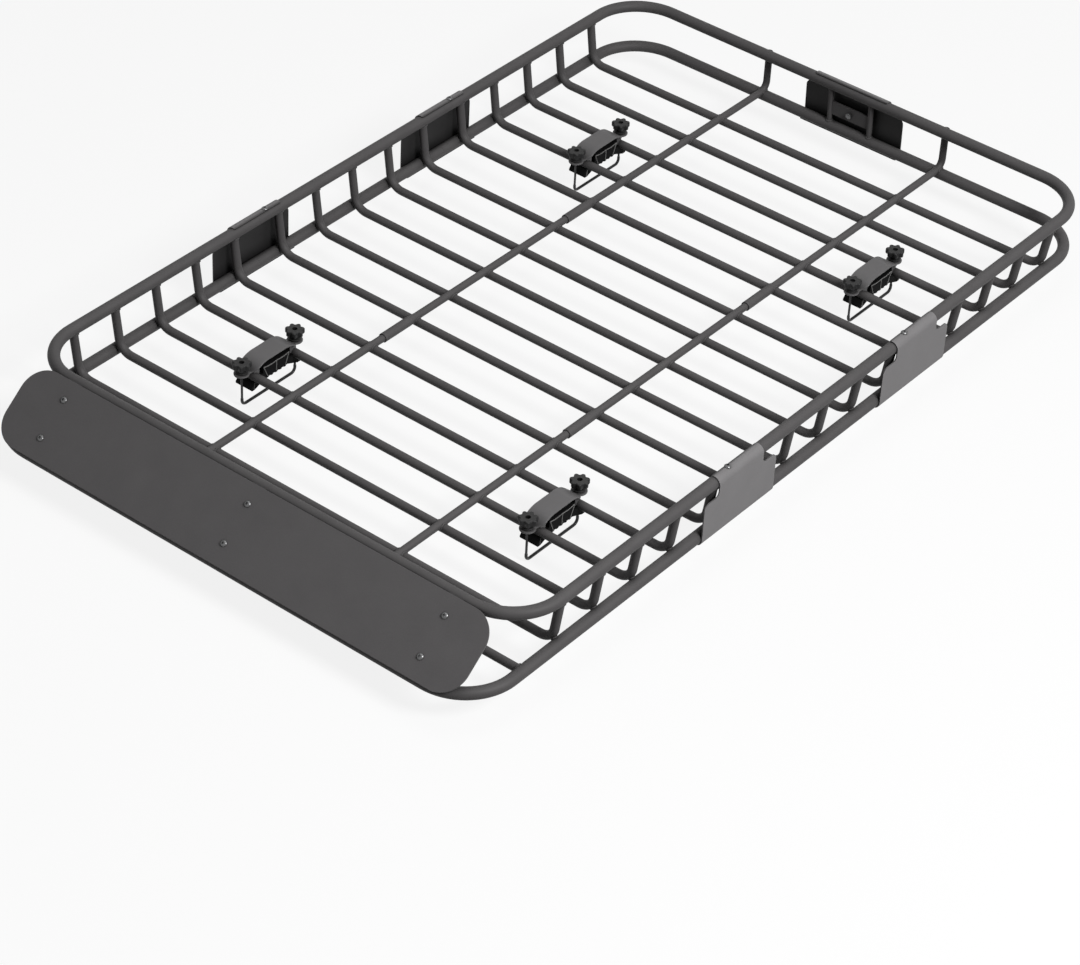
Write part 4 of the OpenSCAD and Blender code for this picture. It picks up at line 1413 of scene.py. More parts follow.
@dataclass(frozen=True)
class SheetParts:
    """The cover plates, the fairing and their screws.

    Attributes:
        screw: The screws that hold them.
        side_w: Widths of a side plate's body and flange.
        rear_w: Widths of the rear plate's body and flange.
        side_screw: Distance of a side plate's screw from its middle.
        side_length: Length of that screw.
        fairing_w: Width of the fairing.
        fairing_h: Length of the fairing down its slope.
        fairing_set: How far its top edge lies below the upper rail's centre.
        fairing_r: Corner radius of the fairing.
        screw_x: Distance of the outer screw columns from the centre line.
        screw_drops: From the upper rail's centre down the slope to each row of screws.
        carrier: Thickness of the straps behind the fairing.
        strap: Thickness of the strap behind the rear plate.
        spare: Length of a screw past its nut.
        sheet: Thickness of the sheet.
        gap: Gap between the sheet and the rails.
        seat: Gap under a screw's head.
        edges: How the sheet's edges are broken.
    """

    screw: ButtonScrew = ButtonScrew()
    side_w: tuple[float, float] = (180.0 * MM, 110.0 * MM)
    rear_w: tuple[float, float] = (204.0 * MM, 150.0 * MM)
    side_screw: float = 21.7 * MM
    side_length: float = 9.0 * MM
    fairing_w: float = 918.0 * MM
    fairing_h: float = 133.0 * MM
    fairing_set: float = 3.0 * MM
    fairing_r: float = 45.0 * MM
    screw_x: float = 377.5 * MM
    screw_drops: tuple[float, float] = (34.3 * MM, 101.5 * MM)
    carrier: float = 3.0 * MM
    strap: float = 4.0 * MM
    spare: float = 1.0 * MM
    sheet: float = 2.0 * MM
    gap: float = 0.15 * MM
    seat: float = 0.1 * MM
    edges: Softening = Softening(0.5 * MM, 2, 60.0)

    def build(self) -> None:
        """Builds the plates, the fairing and the screws."""
        self._side_plates()
        self._rear_plate()
        self._fairing()

    def _side_plates(self) -> None:
        """Builds the four side plates and their screws."""
        lay, screws = LAYOUT, Shape()
        plate = CoverPlate(*self.side_w, lay.upper_z - lay.lower_z)
        seat = lay.upper_z + plate.outer_r + self.seat
        for end in ("front", "rear"):
            for name, side in (("right", 1), ("left", -1)):
                node = f"side_plate_{end}_{name}"
                middle = lay.middle(node)[1]
                place = Matrix.Translation((side * lay.rail_x, middle, lay.lower_z))
                shape = plate.shape().moved(place @ Matrix.Diagonal((side, 1, 1, 1)))
                add_piece(f"{node}_sheet", shape, "basket", PLATE_COAT, self.edges, [node])
                spot = (side * lay.rail_x, middle - side * self.side_screw, seat)
                screws.add(self.screw.shape(self.side_length), Matrix.Translation(spot))
        add_piece("side_plate_buttons", screws, "basket", SCREW_BLACK, replaces=["side_plate_screws"])

    def _rear_plate(self) -> None:
        """Builds the rear plate with its screw and nut."""
        lay = LAYOUT
        run, rise = lay.lower_rear_y - lay.upper_rear_y, lay.upper_z - lay.lower_z
        tilt = math.atan2(run, rise)
        plate = CoverPlate(*self.rear_w, math.hypot(run, rise))
        place = (Matrix.Translation((0, lay.lower_rear_y, lay.lower_z)) @ Matrix.Rotation(tilt, 4, "X")
                 @ Matrix.Rotation(math.pi / 2, 4, "Z"))
        add_piece("rear_plate_sheet", plate.shape().moved(place), "basket", PLATE_COAT, self.edges,
                  ["rear_plate"])
        height = (Layout.middle("rear_strap")[2] - lay.lower_z) / math.cos(tilt)
        head = (place @ Matrix.Translation((plate.outer_r + self.seat, 0, height))
                @ Matrix.Rotation(math.pi / 2, 4, "Y"))
        length = plate.outer_r + self.strap / 2 + self.screw.nut_h + 3 * self.seat + self.spare
        add_piece("rear_button", self.screw.shape(length).moved(head), "basket", SCREW_BLACK,
                  replaces=["rear_plate_screw"])
        nut = (place @ Matrix.Translation((-self.strap / 2 - self.seat, 0, height))
               @ Matrix.Rotation(-math.pi / 2, 4, "Y"))
        add_piece("rear_lock_nut", self.screw.nut().moved(nut), "basket", SCREW_BLACK,
                  replaces=["rear_plate_nut"])

    def _fairing(self) -> None:
        """Builds the fairing with its screws and nuts."""
        lay = LAYOUT
        run, rise = lay.upper_front_y - lay.lower_front_y, lay.upper_z - lay.lower_z
        slope = math.hypot(run, rise)
        place = (Matrix.Translation((0, lay.lower_front_y, lay.lower_z))
                 @ Matrix.Rotation(math.atan2(rise, run), 4, "X"))
        high = slope - self.fairing_set
        low = high - self.fairing_h
        inset_x, r = self.fairing_w / 2 - self.fairing_r, self.fairing_r
        outline = []
        for x, y, start in ((inset_x, low + r, -90), (inset_x, high - r, 0), (-inset_x, high - r, 90),
                            (-inset_x, low + r, 180)):
            outline += arc((x, y), r, start, start + 90, 20)
        face = lay.rail_r + self.gap
        sheet = Shape()
        sheet.prism(outline, face, face + self.sheet)
        add_piece("fairing_sheet", sheet.moved(place), "basket", FAIRING_COAT, self.edges, ["fairing"])
        screws, nuts = Shape(), Shape()
        nut_z = face - 2 * self.seat - self.carrier - self.screw.nut_h
        length = self.sheet + self.carrier + self.screw.nut_h + 4 * self.seat + self.spare
        for x in (-self.screw_x, 0.0, self.screw_x):
            for drop in self.screw_drops:
                spot = (x, slope - drop, face + self.sheet + self.seat)
                screws.add(self.screw.shape(length), place @ Matrix.Translation(spot))
                nuts.add(self.screw.nut(), place @ Matrix.Translation((x, slope - drop, nut_z)))
        add_piece("fairing_buttons", screws, "basket", SCREW_BLACK, replaces=["fairing_screws"])
        add_piece("fairing_lock_nuts", nuts, "basket", SCREW_BLACK, replaces=["fairing_nuts"])


# -------------------- clamps


def smooth_max(first: float, second: float, width: float) -> float:
    """Gives the larger of two numbers, rounded over where they are within a width of each other."""
    near = max(0.0, width - abs(first - second)) / width
    return max(first, second) + near * near * width / 4


@dataclass(frozen=True)
class StarKnob:
    """A star knob with a collar, a ribbed neck and a recess in its top.

    Attributes:
        lobes: Number of lobes.
        lobe_r: Radius over the lobes.
        waist_r: Radius between the lobes.
        collar_r: Radius of the collar.
        neck_r: Radius of the neck.
        neck_h: Height of the neck, with the collar.
        star_h: Height of the star.
        bevel: Height of the round at the star's edges.
        recess_r: Radius of the recess.
        recess_h: Depth of the recess.
        bore_r: Radius of the threaded bore.
        bore_h: Depth of the bore under the recess.
        collar_h: Height of the collar.
        collar_edge: Bevel of the collar's edges, and height from it to the neck.
        grip_rib: Depth of the neck's ribs.
        flare: Inset of the star's foot.
        round_w: Inset of the star's top edge.
        plumpness: How much fuller a lobe is than a cosine wave.
    """

    lobes: int = 7
    lobe_r: float = 15.95 * MM
    waist_r: float = 12.4 * MM
    collar_r: float = 10.0 * MM
    neck_r: float = 8.5 * MM
    neck_h: float = 9.0 * MM
    star_h: float = 10.0 * MM
    bevel: float = 2.5 * MM
    recess_r: float = 4.25 * MM
    recess_h: float = 6.0 * MM
    bore_r: float = 2.1 * MM
    bore_h: float = 4.0 * MM
    collar_h: float = 2.0 * MM
    collar_edge: float = 0.4 * MM
    grip_rib: float = 0.5 * MM
    flare: float = 1.9 * MM
    round_w: float = 2.2 * MM
    plumpness: float = 1.25

    def _ring(self, radius: float, height: float, star: float = 0.0, ribs: float = 0.0) -> list:
        """Gives a ring between a circle and the star.

        Args:
            radius: Radius of the circle, or the star's inset from its full outline where star is 1.
            height: Height of the ring.
            star: Share of the star's outline.
            ribs: Depth of the neck's ribs.

        Returns:
            The ring's points.
        """
        count, ring = 12 * self.lobes, []
        mean, swing = (self.lobe_r + self.waist_r) / 2, (self.lobe_r - self.waist_r) / 2
        for index in range(count):
            turn = math.tau * index / count
            wave = math.cos(self.lobes * turn)
            wave = self.plumpness * wave / math.sqrt(1 + (self.plumpness**2 - 1) * wave * wave)
            grip = ribs * (1 - abs(math.cos(1.5 * self.lobes * turn)))
            reach = star * (mean + swing * wave) + radius - grip
            ring.append((reach * math.cos(turn), reach * math.sin(turn), height))
        return ring

    def shape(self) -> Shape:
        """Builds the knob on z = 0.

        Returns:
            The knob.
        """
        made, top, edge = Shape(), self.neck_h + self.star_h, self.collar_edge
        rings = [self._ring(self.collar_r - edge, 0.0), self._ring(self.collar_r, edge),
                 self._ring(self.collar_r, self.collar_h - edge),
                 self._ring(self.collar_r - edge, self.collar_h)]
        rings += [self._ring(self.neck_r, height, ribs=self.grip_rib)
                  for height in (self.collar_h + edge, self.neck_h - edge)]
        for index in range(6):
            turn = math.pi / 2 * index / 5
            inset, height = self.flare * (1 - math.sin(turn)), self.bevel * (1 - math.cos(turn))
            rings.append(self._ring(-inset, self.neck_h + height, 1.0))
        for index in range(8):
            turn = math.pi / 2 * index / 7
            inset, height = self.round_w * (1 - math.cos(turn)), self.bevel * math.sin(turn)
            rings.append(self._ring(-inset, top - self.bevel + height, 1.0))
        # The top dips a little between the star's edge and the raised rim of the recess.
        rings += [self._ring(2.2 * MM, top - 0.25 * MM, 0.55), self._ring(4.6 * MM, top - 0.45 * MM, 0.15)]
        rim = ((1.2, 0.25), (0.6, 0.1), (0.1, 0.3), (0.0, 0.9))
        rings += [self._ring(self.recess_r + out * MM, top - down * MM) for out, down in rim]
        rings += [self._ring(self.recess_r - 0.1 * MM, top - self.recess_h),
                  self._ring(self.bore_r, top - self.recess_h),
                  self._ring(self.bore_r, top - self.recess_h - self.bore_h)]
        made.loft(rings)
        return made


@dataclass(frozen=True)
class ClampCover:
    """The pressed arch over two cross bars, with ribs that seat on them and a round ear at each end.

    Attributes:
        width: Width along the cross bars.
        crown_z: Height of the crown.
        arch_r: Radius of the shoulders.
        crown_half: Half length of the level crown.
        wall: Wall of the cover.
        ear_z: Height of the ears' underside.
        ear_t: Thickness of the ears.
        ear_r: Radius of an ear.
        neck_half: Half width of the neck before an ear.
        neck_start: Where the arch starts to narrow, from the middle.
        neck_end: Where it has narrowed to the neck.
        leg_half: Distance of each leg from the middle.
        bar_half: Distance of each cross bar from the middle.
        saddle_r: Radius of the saddles over the bars.
        blend_h: Height over which the arch blends into the ears.
        bulge: How far the sheet bulges along its middle.
        rib_z: Height of the ribs' foot.
        rib_t: Thickness of a rib.
        rib_inset: Distance of the ribs from the cover's edges.
        round_r: Radius along the cover's long edges.
    """

    width: float = 37.0 * MM
    crown_z: float = 24.0 * MM
    arch_r: float = 45.0 * MM
    crown_half: float = 18.75 * MM
    wall: float = 2.5 * MM
    ear_z: float = 7.45 * MM
    ear_t: float = 3.0 * MM
    ear_r: float = 13.0 * MM
    neck_half: float = 9.5 * MM
    neck_start: float = 40.0 * MM
    neck_end: float = 54.0 * MM
    leg_half: float = 61.5 * MM
    bar_half: float = 45.3 * MM
    saddle_r: float = 7.45 * MM
    blend_h: float = 1.6 * MM
    bulge: float = 0.16 * MM
    rib_z: float = 2.45 * MM
    rib_t: float = 2.5 * MM
    rib_inset: float = 5.0 * MM
    round_r: float = 1.0 * MM

    def _half_width(self, y: float) -> float:
        """Gives the cover's half width, which narrows to a neck before each ear.

        Args:
            y: The place along the cover.

        Returns:
            The half width.
        """
        y = abs(y)
        ear = math.sqrt(max(self.ear_r**2 - (y - self.leg_half) ** 2, 1e-8))
        if y > self.leg_half:
            return ear
        share = min(max((y - self.neck_start) / (self.neck_end - self.neck_start), 0.0), 1.0)
        body = self.width / 2 + (self.neck_half - self.width / 2) * share * share * (3 - 2 * share)
        return smooth_max(body, ear, self.blend_h)

    def _top(self, y: float) -> float:
        """Gives the height of the outer face at a place along the cover."""
        out = max(0.0, abs(y) - self.crown_half)
        arch = self.crown_z - self.arch_r + math.sqrt(max(self.arch_r**2 - out**2, 0.0))
        return smooth_max(arch, self.ear_z + self.ear_t, self.blend_h)

    def _under(self, y: float) -> float:
        """Gives the height of the inner face at a place along the cover."""
        out = max(0.0, abs(y) - self.crown_half)
        arch = self.crown_z - self.arch_r + math.sqrt(max((self.arch_r - self.wall) ** 2 - out**2, 0.0))
        return smooth_max(arch, self.ear_z, self.blend_h)

    def _section(self, y: float) -> list[tuple[float, float, float]]:
        """Gives the cover's closed cross section at a place along it.

        Args:
            y: The place.

        Returns:
            The section's points, over the outside and back under the inside.
        """
        half, top, under = self._half_width(y), self._top(y), self._under(y)
        edge = min(self.round_r, 0.42 * (top - under), 0.6 * half)
        bulge = self.bulge * min(1.0, half / self.ear_r)
        right = arc((half - edge, under + edge), edge, -90, 0, 3)
        right += arc((half - edge, top - edge), edge, 0, 90, 5)
        right += [(0.5 * (half - edge), top + 0.75 * bulge)]
        outer = right + [(0.0, top + bulge)] + [(-x, z) for x, z in reversed(right)]
        return [(x, y, z) for x, z in outer]

    def shape(self) -> Shape:
        """Builds the cover about the middle of its two bars, with z = 0 at the bars' centre.

        Returns:
            The cover.
        """
        end, steps = self.leg_half + self.ear_r, 44
        straight = self.leg_half - self.ear_r
        half = [straight * step / steps for step in range(steps)]
        half += [straight + self.ear_r * step / 10 for step in range(10)]
        half += [self.leg_half + self.ear_r * math.sin(math.radians(turn)) for turn in range(0, 90, 9)]
        half.append(end - 0.02 * MM)
        made = Shape()
        made.loft([self._section(y) for y in [-y for y in reversed(half[1:])] + half])
        return made

    def ribs_shape(self) -> Shape:
        """Builds the ribs under the cover, which seat it on its two bars.

        Returns:
            The ribs.
        """
        start, foot = self.bar_half - self.saddle_r - self.wall, self.rib_z
        outline = [(start, foot)]
        rise = math.degrees(math.asin(foot / self.saddle_r))
        outline += arc((self.bar_half, 0.0), self.saddle_r, 180 - rise, 90, 10)
        end = self.bar_half + 2.0 * MM
        outline.append((end, self.ear_z))
        for step in range(9):
            y = end + (start - end) * step / 8
            outline.append((y, self._under(y) + 0.4 * MM))
        made, plate = Shape(), Shape()
        plate.prism(outline, -self.rib_t / 2, self.rib_t / 2)
        for side in (-1, 1):
            for along in (-1, 1):
                x = side * (self.width / 2 - self.rib_inset - self.rib_t / 2)
                made.add(plate, Matrix(((0, 0, 1, x), (along, 0, 0, 0), (0, 1, 0, 0), (0, 0, 0, 1))))
        return made


@dataclass(frozen=True)
class ClampPad:
    """The rubber pad under the bars: toes, a ribbed seat, a boss and raised lines on its sides.

    Attributes:
        width: Width of the pad.
        seat_z: Height of the seat.
        seat_half: Half length of the seat.
        rib_w: Width of the ribs under the seat.
        rib_h: Height of those ribs.
        toe_z: Height of the toes' foot.
        toe_tip: Distance of the toes' tips from the middle.
        toe_foot: Length of a toe's level foot.
        toe_bevel: Bevel at a toe's tip.
        toe_h: Height of a toe's upright end.
        bar_half: Distance of each cross bar from the middle.
        saddle_r: Radius of the saddles under the bars.
        boss_half: Half length of the boss.
        boss_z: Height of the boss.
        boss_dip: How far it dips in its middle.
        line_r: Radius of the raised lines.
        line_foot: Distance of the outer lines' feet from the middle.
        line_sag: How far the lines under the boss sag.
        toe_line_top: Upper end of the line on a toe, out from the bar's middle and up.
        toe_line_knee: The line's corner, in from the toe's tip and up.
        toe_line_foot: Its lower end, in from the toe's tip.
        line_step: Step along the lines.
    """

    width: float = 34.0 * MM
    seat_z: float = -11.5 * MM
    seat_half: float = 26.0 * MM
    rib_w: float = 5.0 * MM
    rib_h: float = 1.5 * MM
    toe_z: float = -21.0 * MM
    toe_tip: float = 58.0 * MM
    toe_foot: float = 6.0 * MM
    toe_bevel: float = 2.0 * MM
    toe_h: float = 3.0 * MM
    bar_half: float = 45.3 * MM
    saddle_r: float = 7.45 * MM
    boss_half: float = 30.5 * MM
    boss_z: float = 12.5 * MM
    boss_dip: float = 1.0 * MM
    line_r: float = 0.85 * MM
    line_foot: float = 20.0 * MM
    line_sag: float = 1.6 * MM
    toe_line_top: Point = (4.8 * MM, -6.6 * MM)
    toe_line_knee: Point = (6.4 * MM, -15.5 * MM)
    toe_line_foot: float = 5.6 * MM
    line_step: float = 1.2 * MM

    def _outline(self) -> list[Point]:
        """Gives the pad's side.

        Returns:
            Its corners, Y along the car and Z up.
        """
        half: list[Point] = []
        steps = int(self.seat_half / (2 * self.rib_w))
        for index in range(steps + 1):
            middle = 2 * index * self.rib_w
            near, far = middle - self.rib_w / 2, middle + self.rib_w / 2
            if index:
                half += [(near, self.seat_z), (near, self.seat_z - self.rib_h)]
            half += [(far, self.seat_z - self.rib_h), (far, self.seat_z)]
        heel = self.toe_tip - self.toe_bevel - self.toe_foot
        shin = self.toe_z + self.toe_bevel + self.toe_h
        half += [(self.seat_half, self.seat_z), (heel, self.toe_z),
                 (self.toe_tip - self.toe_bevel, self.toe_z),
                 (self.toe_tip, self.toe_z + self.toe_bevel), (self.toe_tip, shin)]
        slope = math.degrees(math.atan2(shin, self.toe_tip - self.bar_half))
        half += arc((self.bar_half, 0.0), self.saddle_r, slope, -180, 14)
        half += [(self.boss_half, 0.0), (self.boss_half, self.boss_z)]
        outline = half + [(0.0, self.boss_z - self.boss_dip)] + [(-y, z) for y, z in reversed(half)]
        return outline

    def _lines(self) -> list[list[Point]]:
        """Gives the raised lines on the pad's sides.

        Returns:
            The lines, each as a row of points.
        """
        inset = self.line_r
        corner = (self.boss_half - 1.2 * MM, self.boss_z - 1.2 * MM)
        middle = (0.0, self.boss_z - self.boss_dip - 1.4 * MM)
        foot = self.seat_z + inset
        lines = []
        for side in (-1, 1):
            arch = []
            for index in range(13):
                share = index / 12
                y = middle[0] + (corner[0] - middle[0]) * share
                z = middle[1] + (corner[1] - middle[1]) * share - self.line_sag * math.sin(math.pi * share)
                arch.append((side * y, z))
            lines.append(arch)
            lines.append([(side * corner[0], corner[1]), (side * self.line_foot, foot)])
            (near, high), (back, low) = self.toe_line_top, self.toe_line_knee
            lines.append([(side * (self.bar_half + near), high), (side * (self.toe_tip - back), low),
                          (side * (self.toe_tip - self.toe_line_foot), self.toe_z + inset)])
        lines.append([middle, (0.0, foot)])
        return lines

    def shape(self) -> Shape:
        """Builds the pad about the middle of its two bars, with z = 0 at the bars' centre.

        Returns:
            The pad.
        """
        made, prism = Shape(), Shape()
        prism.prism(self._outline(), -self.width / 2, self.width / 2)
        made.add(prism, Matrix(((0, 0, 1, 0), (1, 0, 0, 0), (0, 1, 0, 0), (0, 0, 0, 1))))
        return made

    def lines_shape(self) -> Shape:
        """Builds the raised lines on both sides of the pad.

        Returns:
            The lines.
        """
        made = Shape()
        for side in (-1, 1):
            x = side * (self.width / 2 + 0.1 * MM)
            for line in self._lines():
                points = self._resampled(line)
                path = np.array([(x, y, z) for y, z in points])
                radii = np.full(len(path), self.line_r)
                radii[[0, -1]] *= 0.5
                made.loft(sweep(path, np.tile([1.0, 0.0, 0.0], (len(path), 1)), radii, 8))
        return made

    def _resampled(self, line: Sequence[Point]) -> np.ndarray:
        """Gives a line's points at an even step.

        Args:
            line: The line.

        Returns:
            The points, in rows.
        """
        points = np.array(line)
        lengths = np.concatenate([[0], np.cumsum(np.linalg.norm(np.diff(points, axis=0), axis=1))])
        at = np.linspace(0, lengths[-1], max(4, int(lengths[-1] / self.line_step)))
        return np.column_stack([np.interp(at, lengths, points[:, axis]) for axis in range(2)])


@dataclass(frozen=True)
class UBolt:
    """The U-bolt: a thick rod at the foot, thinner threaded legs above it.

    Attributes:
        leg_half: Distance of each leg from the middle.
        rod_r: Radius of the thick rod.
        thread_r: Radius over the thread.
        bend_r: Radius of the bends' centre line.
        foot_z: Height of the foot's centre line.
        thick: Length of the thick rod above the foot.
        leg: Length of a leg, from the foot's centre line to the tip.
        pitch: Pitch of the thread.
        thread_h: Depth of the thread.
        bare: Length of a leg's bare tip.
        segments: Points round the thick rod.
    """

    leg_half: float = 61.5 * MM
    rod_r: float = 2.5 * MM
    thread_r: float = 1.99 * MM
    bend_r: float = 9.0 * MM
    foot_z: float = -52.5 * MM
    thick: float = 13.0 * MM
    leg: float = 77.0 * MM
    pitch: float = 0.7 * MM
    thread_h: float = 0.22 * MM
    bare: float = 1.2 * MM
    segments: int = 16

    def shape(self) -> Shape:
        """Builds the U-bolt about the middle of its two bars, with z = 0 at the bars' centre.

        Returns:
            The U-bolt, without its tips.
        """
        made = Shape()
        end, low = self.leg_half - self.bend_r, self.foot_z + self.bend_r
        start, tip = self.foot_z + self.thick, self.foot_z + self.leg
        half = [(end + y, low + z) for y, z in arc((0.0, 0.0), self.bend_r, -90, 0, 16)]
        half += [(self.leg_half, start - 0.9 * MM), (self.leg_half, start)]
        half += [(self.leg_half, start + 0.5 * MM)]
        path = [(0.0, -y, z) for y, z in reversed(half)] + [(0.0, y, z) for y, z in half]
        radii = np.full(len(path), self.rod_r)
        radii[[0, -1]] = self.thread_r - 0.3 * MM
        radii[[1, -2]] = self.rod_r - 0.35 * MM
        made.loft(sweep(np.array(path), np.tile([1.0, 0.0, 0.0], (len(path), 1)), radii, self.segments))
        for side in (-1, 1):
            leg = Shape()
            leg.loft(thread(self.thread_r, self.pitch, self.thread_h, start, tip - self.bare, 12))
            made.add(leg, Matrix.Translation((0, side * self.leg_half, 0)))
        return made

    def tips(self) -> Shape:
        """Builds the bare, chamfered tips of the two legs.

        Returns:
            The tips.
        """
        made, tip = Shape(), self.foot_z + self.leg
        end = Shape()
        end.lathe([(self.thread_r - 0.25 * MM, tip - 1.4 * MM), (self.thread_r - 0.25 * MM, tip - 0.7 * MM),
                   (self.thread_r - 0.8 * MM, tip - 0.1 * MM), (self.thread_r - 1.0 * MM, tip)], 20)
        for side in (-1, 1):
            made.add(end, Matrix.Translation((0, side * self.leg_half, 0)))
        return made


@dataclass(frozen=True)
class Clamp:
    """One of the four slide-along clamps.

    Attributes:
        corner: The clamp's corner of the basket, such as front_left.
        cover: Its cover.
        pad: Its pad.
        bolt: Its U-bolt.
        knob: Its two knobs.
        washer_r: Radius of the washers.
        washer_t: Thickness of the washers.
        seat: Gap between pieces that lie on each other.
    """

    corner: str
    cover: ClampCover = ClampCover()
    pad: ClampPad = ClampPad()
    bolt: UBolt = UBolt()
    knob: StarKnob = StarKnob()
    washer_r: float = 7.0 * MM
    washer_t: float = 1.0 * MM
    seat: float = 0.1 * MM

    def build(self) -> None:
        """Builds the clamp's pieces on their bodies."""
        corner = self.corner
        middle = Layout.middle(f"cover_{corner}")
        place = Matrix.Translation((middle[0], middle[1], LAYOUT.bar_z))
        clamp, hook = f"clamp_{corner}", f"hook_{corner}"
        cover = add_piece(f"arch_{corner}", self.cover.shape().moved(place), clamp, COVER_COAT, sharp=45.0,
                          replaces=[f"cover_{corner}"])
        self._bore_ears(cover, middle)
        add_piece(f"arch_ribs_{corner}", self.cover.ribs_shape().moved(place), clamp, COVER_COAT)
        add_piece(f"rubber_{corner}", self.pad.shape().moved(place), clamp, PAD_RUBBER,
                  Softening(0.55 * MM, 2, 30.0), [f"pad_{corner}"])
        # The raised lines carry a painted highlight in a lighter copy of the pad rubber.
        add_piece(f"rubber_line_highlights_{corner}", self.pad.lines_shape().moved(place), clamp, PAD_LINE_HIGHLIGHT)
        add_piece(f"rod_{corner}", self.bolt.shape().moved(place), hook, ROD_BLACK,
                  replaces=[f"ubolt_{corner}"])
        add_piece(f"rod_tips_{corner}", self.bolt.tips().moved(place), hook, JOINER_STEEL)
        ear_top = self.cover.ear_z + self.cover.ear_t
        washers = Shape()
        knob_z = ear_top + self.washer_t + 2 * self.seat
        for side, name in ((-1, "fore"), (1, "aft")):
            y = side * self.cover.leg_half
            washers.add(self._washer(), place @ Matrix.Translation((0, y, ear_top + self.seat)))
            spun = place @ Matrix.Translation((0, y, knob_z))
            add_piece(f"star_{corner}_{name}", self.knob.shape().moved(spun), f"{name}_knob_{corner}",
                      KNOB_PLASTIC, replaces=[f"knob_{corner}_{name}"])
        add_piece(f"discs_{corner}", washers, clamp, SCREW_BLACK, replaces=[f"washers_{corner}"])

    def _washer(self) -> Shape:
        """Builds a washer on z = 0, its edges rounded.

        Returns:
            The washer.
        """
        hole, outer, t = self.bolt.thread_r + 0.3 * MM, self.washer_r, self.washer_t
        made, edge = Shape(), 0.25 * MM
        outline = [(hole + edge, 0.0), (outer - edge, 0.0), (outer, edge), (outer, t - edge),
                   (outer - edge, t), (hole + edge, t), (hole, t - edge), (hole, edge)]
        made.loft([circle(radius, height, 36) for radius, height in outline], loop=True)
        return made

    def _bore_ears(self, cover: bpy.types.Object, middle: Vector) -> None:
        """Cuts the legs' holes through the cover's ears.

        Args:
            cover: The cover.
            middle: The middle of the cover's box.
        """
        drill, hole = Shape(), self.bolt.thread_r + 0.31 * MM
        for side in (-1, 1):
            bit = Shape()
            bit.lathe([(hole, -10 * MM), (hole, 30 * MM)], 24)
            spot = (middle[0], middle[1] + side * self.cover.leg_half, LAYOUT.bar_z)
            drill.add(bit, Matrix.Translation(spot))
        cutter = bpy.data.objects.new("drill", drill.mesh("drill", 40.0))
        bpy.context.scene.collection.objects.link(cutter)
        cut = cover.modifiers.new("holes", "BOOLEAN")
        cut.object, cut.operation, cut.solver = cutter, "DIFFERENCE", "EXACT"
        bpy.context.view_layer.update()
        bored = bpy.data.meshes.new_from_object(cover.evaluated_get(bpy.context.evaluated_depsgraph_get()))
        cover.modifiers.clear()
        cover.data = bored
        bpy.data.objects.remove(cutter)


# -------------------- studio


@dataclass(frozen=True)
class Camera:
    """The camera, set by where it looks from.

    Attributes:
        azimuth: Angle round the basket in degrees, 0 looking along +Y.
        elevation: Angle above the horizon, in degrees.
        roll: Turn about the view axis, in degrees.
        distance: Distance from the point that it looks at.
        lens: Focal length in millimetres.
        sensor: Width of the sensor in millimetres.
        aim: The point that it looks at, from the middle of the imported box.
    """

    azimuth: float = -37.14
    elevation: float = 37.787
    roll: float = 3.162
    distance: float = 5.2632
    lens: float = 115.956
    sensor: float = 36.0
    aim: tuple[float, float, float] = (0.2299, -0.34, -0.0214)

    def build(self) -> None:
        """Adds the camera and makes it the scene's own."""
        data = bpy.data.cameras.new("studio_camera")
        data.sensor_fit, data.sensor_width, data.lens = "HORIZONTAL", self.sensor, self.lens
        data.clip_start, data.clip_end = 0.1, 100.0
        turn, rise, roll = (math.radians(angle) for angle in (self.azimuth, self.elevation, self.roll))
        back = Vector((-math.sin(turn) * math.cos(rise), -math.cos(turn) * math.cos(rise), math.sin(rise)))
        right = (-back).cross(Vector((0, 0, 1))).normalized()
        up = right.cross(-back)
        x_axis = right * math.cos(roll) + up * math.sin(roll)
        y_axis = up * math.cos(roll) - right * math.sin(roll)
        middle = (Vector(CAD_BOX[0]) + Vector(CAD_BOX[1])) / 2
        spot = middle + Vector(self.aim) + back * self.distance
        camera = bpy.data.objects.new("studio_camera", data)
        camera.matrix_world = Matrix.Translation(spot) @ Matrix((x_axis, y_axis, back)).transposed().to_4x4()
        bpy.context.scene.collection.objects.link(camera)
        bpy.context.scene.camera = camera


@dataclass(frozen=True)
class SoftLight:
    """A square soft light that looks at the basket.

    Attributes:
        name: The light's name.
        azimuth: Angle round the basket in degrees, 0 in front of it and 90 on its right.
        elevation: Angle above the horizon, in degrees.
        size: Side of the light.
        power: Its power in watts.
        distance: Its distance from the middle of the basket.
    """

    name: str
    azimuth: float
    elevation: float
    size: float
    power: float
    distance: float = 5.0

    def build(self) -> None:
        """Adds the light to the scene."""
        data = bpy.data.lights.new(self.name, "AREA")
        data.shape, data.size, data.energy = "SQUARE", self.size, self.power
        lamp = bpy.data.objects.new(self.name, data)
        turn, rise = math.radians(self.azimuth), math.radians(self.elevation)
        out = Vector((math.sin(turn) * math.cos(rise), -math.cos(turn) * math.cos(rise), math.sin(rise)))
        facing = out.to_track_quat("Z", "Y").to_matrix().to_4x4()
        lamp.matrix_world = Matrix.Translation(out * self.distance) @ facing
        bpy.context.scene.collection.objects.link(lamp)


